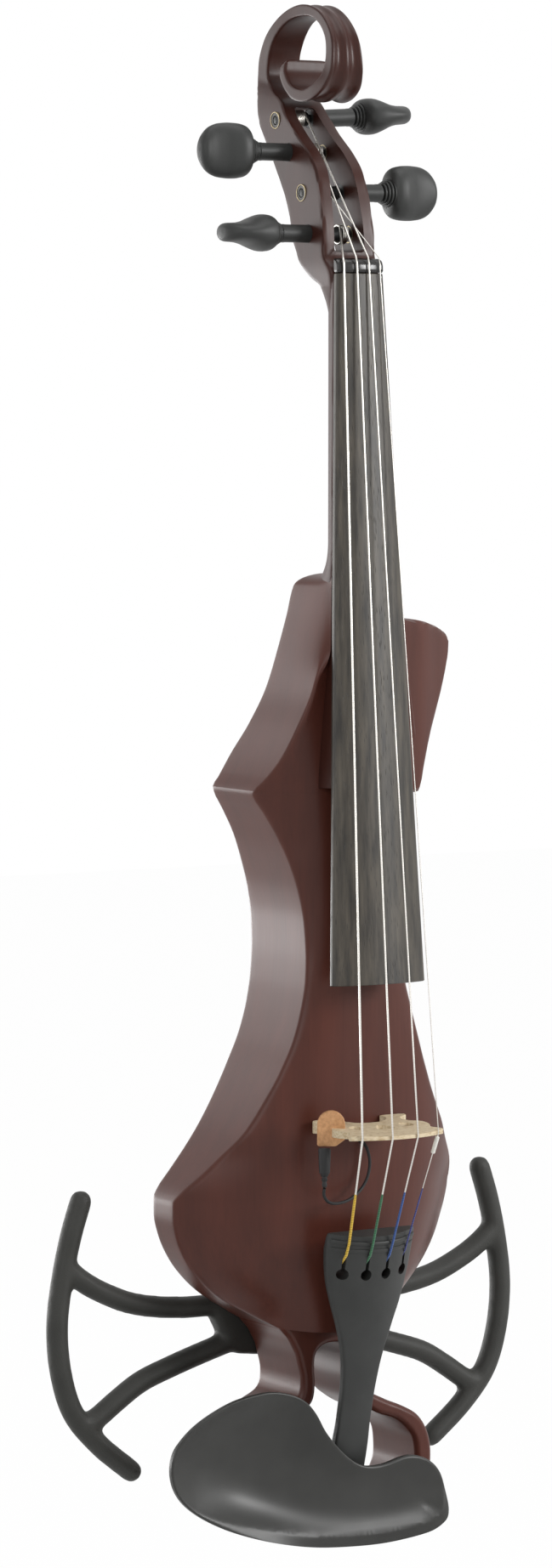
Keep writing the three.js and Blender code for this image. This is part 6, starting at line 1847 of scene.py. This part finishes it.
# Stage
def set_camera():
    scene = bpy.context.scene
    scene.view_settings.view_transform = "Standard"
    look = bpy.data.cameras.new("camera")
    look.lens, look.sensor_width = CAMERA_LENS, CAMERA_SENSOR
    look.clip_start, look.clip_end = CAMERA_CLIP
    camera = bpy.data.objects.new("camera", look)
    scene.collection.objects.link(camera)
    aim = Vector(CAMERA_AIM).normalized()
    right = aim.cross(Vector((0, 0, 1))).normalized()
    up = right.cross(aim)
    tilted = right * math.cos(CAMERA_ROLL) + up * math.sin(CAMERA_ROLL)
    upright = up * math.cos(CAMERA_ROLL) - right * math.sin(CAMERA_ROLL)
    turn = Matrix((tilted, upright, -aim)).transposed().to_4x4()
    camera.matrix_world = Matrix.Translation(Vector(CAMERA_PLACE) * MM) @ turn
    scene.camera = camera


def emptied(block):
    """The node tree of a material or world, with no nodes in it."""
    block.use_nodes = True
    block.node_tree.nodes.clear()
    return block.node_tree


def sees_white(tree):
    """1 for the rays that have to meet plain white: from the eye, off gloss and through glass."""
    seen = add(tree, "LightPath").outputs
    rays = {0: seen["Is Camera Ray"], 1: seen["Is Glossy Ray"]}
    direct = add(tree, "Math", {"operation": "MAXIMUM"}, rays).outputs[0]
    rays = {0: direct, 1: seen["Is Transmission Ray"]}
    return add(tree, "Math", {"operation": "MAXIMUM"}, rays).outputs[0]


def build_floor():
    corners = [(x * FLOOR_HALF, y * FLOOR_HALF, -FLOOR_DOWN) for x, y in ((-1, -1), (1, -1), (1, 1), (-1, 1))]
    floor = raw((np.array(corners, float), [(0, 1, 2, 3)]))
    floor.name = "floor"
    # Matt pale paint: white to the eye, with the violin's soft shadow on it
    made = bpy.data.materials.new("pale_floor")
    tree = emptied(made)
    part = add(tree, "Math", {"operation": "MULTIPLY", 1: FLOOR_WHITE}, {0: sees_white(tree)})
    paint = add(tree, "BsdfDiffuse", {"Color": linear("f2f2f0")})
    glow = add(tree, "Emission", {"Color": (1, 1, 1, 1), "Strength": 1.0})
    mix = add(tree, "MixShader", None, {0: part.outputs[0], 1: paint.outputs[0], 2: glow.outputs[0]})
    add(tree, "OutputMaterial", None, {"Surface": mix.outputs[0]})
    floor.data.materials.append(made)


def build_surround():
    world = bpy.data.worlds.new("white_surround")
    tree = emptied(world)
    white = sees_white(tree)
    soft = add(tree, "Background", {"Color": (1, 1, 1, 1), "Strength": SURROUND_LIGHT})
    bright = add(tree, "Background", {"Color": (1, 1, 1, 1), "Strength": 1.0})
    mix = add(tree, "MixShader", None, {0: white, 1: soft.outputs[0], 2: bright.outputs[0]})
    add(tree, "OutputWorld", None, {"Surface": mix.outputs[0]})
    bpy.context.scene.world = world


def build_lamps():
    for name, (place, size, power) in LAMPS.items():
        lamp = bpy.data.lights.new(name, "AREA")
        lamp.shape, lamp.size, lamp.energy = "SQUARE", size * MM, power
        holder = bpy.data.objects.new(name, lamp)
        holder.location = Vector(place) * MM
        aim = Vector(LAMP_AIM) * MM - holder.location
        holder.rotation_mode = "QUATERNION"
        holder.rotation_quaternion = aim.to_track_quat("-Z", "Y")
        bpy.context.scene.collection.objects.link(holder)


# Properties, operators and panel
class BodySizes(bpy.types.PropertyGroup):
    front_round: bpy.props.FloatProperty(
        name="Front edge", description="Rounding between front and walls", default=0.0016, unit="LENGTH"
    )
    back_round: bpy.props.FloatProperty(
        name="Back edge", description="Rounding between walls and back", default=0.0026, unit="LENGTH"
    )


class FinishColours(bpy.types.PropertyGroup):
    wood: bpy.props.FloatVectorProperty(
        name="Stain", description="Colour of the stained wood", default=linear("522b22")[:3],
        subtype="COLOR", min=0, max=1,
    )


class SetCamera(bpy.types.Operator):
    """Sets the camera at the photograph's angle"""

    bl_idname = "violin.camera"
    bl_label = "Camera"

    def execute(self, context):
        set_camera()
        return {"FINISHED"}


class BuildPickup(bpy.types.Operator):
    """Makes the pickup, its strain relief and its lead"""

    bl_idname = "violin.pickup"
    bl_label = "Pickup and lead"

    def execute(self, context):
        build_cable()
        finished("pickup_wood", pickup(), "pearwood", replaces=["pickup_disc"])
        boot = strain_relief()
        finished("pickup_boot", boot, "black_rubber", replaces=["pickup_strain_relief"])
        return {"FINISHED"}


class BuildBody(bpy.types.Operator):
    """Makes the body with its shoulder and tail loop"""

    bl_idname = "violin.body"
    bl_label = "Body"

    def execute(self, context):
        wood = body_with_holes()
        finished("body_wood", wood, "stained_wood", replaces=["body"], sharp=32)
        return {"FINISHED"}


class BuildNeck(bpy.types.Operator):
    """Makes the neck, the head with its ring scroll, the fingerboard and the nut"""

    bl_idname = "violin.neck"
    bl_label = "Neck, head and fingerboard"

    def execute(self, context):
        wood = neck_and_head()
        # The neck and head wear the stain at half strength, which is painted shade
        finished("neck_wood", wood, "stained_wood_with_painted_shade", replaces=["neck_and_scroll"])
        finished("fingerboard_wood", fingerboard(), "ebony", replaces=["fingerboard"])
        finished("nut_wood", nut(), "ebony_polished", replaces=["nut"])
        return {"FINISHED"}


class BuildPegs(bpy.types.Operator):
    """Makes the four geared pegs"""

    bl_idname = "violin.pegs"
    bl_label = "Pegs"

    def execute(self, context):
        for name in PEGS:
            build_peg(name)
        return {"FINISHED"}


class BuildStrings(bpy.types.Operator):
    """Makes the four strings with their windings and silks"""

    bl_idname = "violin.strings"
    bl_label = "Strings"

    def execute(self, context):
        for name in STRINGS:
            build_string(name)
        build_sleeve()
        return {"FINISHED"}


class BuildBridge(bpy.types.Operator):
    """Makes the bridge"""

    bl_idname = "violin.bridge"
    bl_label = "Bridge"

    def execute(self, context):
        finished("bridge_wood", bridge(), "maple", replaces=["bridge"])
        return {"FINISHED"}


class BuildTailpiece(bpy.types.Operator):
    """Makes the tailpiece, its gut, the saddle and the end button"""

    bl_idname = "violin.tailpiece"
    bl_label = "Tailpiece"

    def execute(self, context):
        finished("tailpiece_moulding", tailpiece(), "matt_black", replaces=["tailpiece"])
        finished("tail_gut_loop", tail_gut(), "black_rubber", replaces=["tail_gut"], sharp=60)
        finished("saddle_block", saddle(), "ebony_polished", replaces=["saddle"])
        finished("end_button_turned", end_button(), "ebony_polished", replaces=["end_button"])
        return {"FINISHED"}


class BuildChinRest(bpy.types.Operator):
    """Makes the chin rest with its pads and clamp"""

    bl_idname = "violin.chin_rest"
    bl_label = "Chin rest"

    def execute(self, context):
        build_chin_rest()
        return {"FINISHED"}


class BuildWings(bpy.types.Operator):
    """Makes both wings and their screws"""

    bl_idname = "violin.wings"
    bl_label = "Wings"

    def execute(self, context):
        build_wings()
        return {"FINISHED"}


class BuildBack(bpy.types.Operator):
    """Makes the back cover's finish, the knobs, screws and sockets"""

    bl_idname = "violin.back"
    bl_label = "Back and sockets"

    def execute(self, context):
        build_back()
        return {"FINISHED"}


class BuildStage(bpy.types.Operator):
    """Makes the floor, the white surround and the lamps"""

    bl_idname = "violin.stage"
    bl_label = "Stage"

    def execute(self, context):
        build_floor()
        build_surround()
        build_lamps()
        return {"FINISHED"}


OPERATORS = (
    SetCamera, BuildPickup, BuildBody, BuildNeck, BuildPegs, BuildStrings, BuildBridge, BuildTailpiece,
    BuildChinRest, BuildWings, BuildBack, BuildStage,
)


class ViolinPanel(bpy.types.Panel):
    bl_idname = "VIEW3D_PT_violin"
    bl_label = "Electric violin"
    bl_space_type = "VIEW_3D"
    bl_region_type = "UI"
    bl_category = "Violin"

    def draw(self, context):
        for group in (context.scene.violin_body, context.scene.violin_finish):
            for key in group.__annotations__:
                self.layout.prop(group, key)
        for operator in OPERATORS:
            self.layout.operator(operator.bl_idname)


CLASSES = (BodySizes, FinishColours, *OPERATORS, ViolinPanel)


def register():
    for cls in CLASSES:
        bpy.utils.register_class(cls)
    bpy.types.Scene.violin_body = bpy.props.PointerProperty(type=BodySizes)
    bpy.types.Scene.violin_finish = bpy.props.PointerProperty(type=FinishColours)


def unregister():
    del bpy.types.Scene.violin_body
    del bpy.types.Scene.violin_finish
    for cls in reversed(CLASSES):
        bpy.utils.unregister_class(cls)


def main():
    """Builds the whole violin."""
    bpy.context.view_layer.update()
    register()
    for operator in OPERATORS:
        group, name = operator.bl_idname.split(".")
        if getattr(getattr(bpy.ops, group), name)() != {"FINISHED"}:
            raise RuntimeError(operator.bl_idname + " did not finish")


if __name__ == "__main__":
    main()
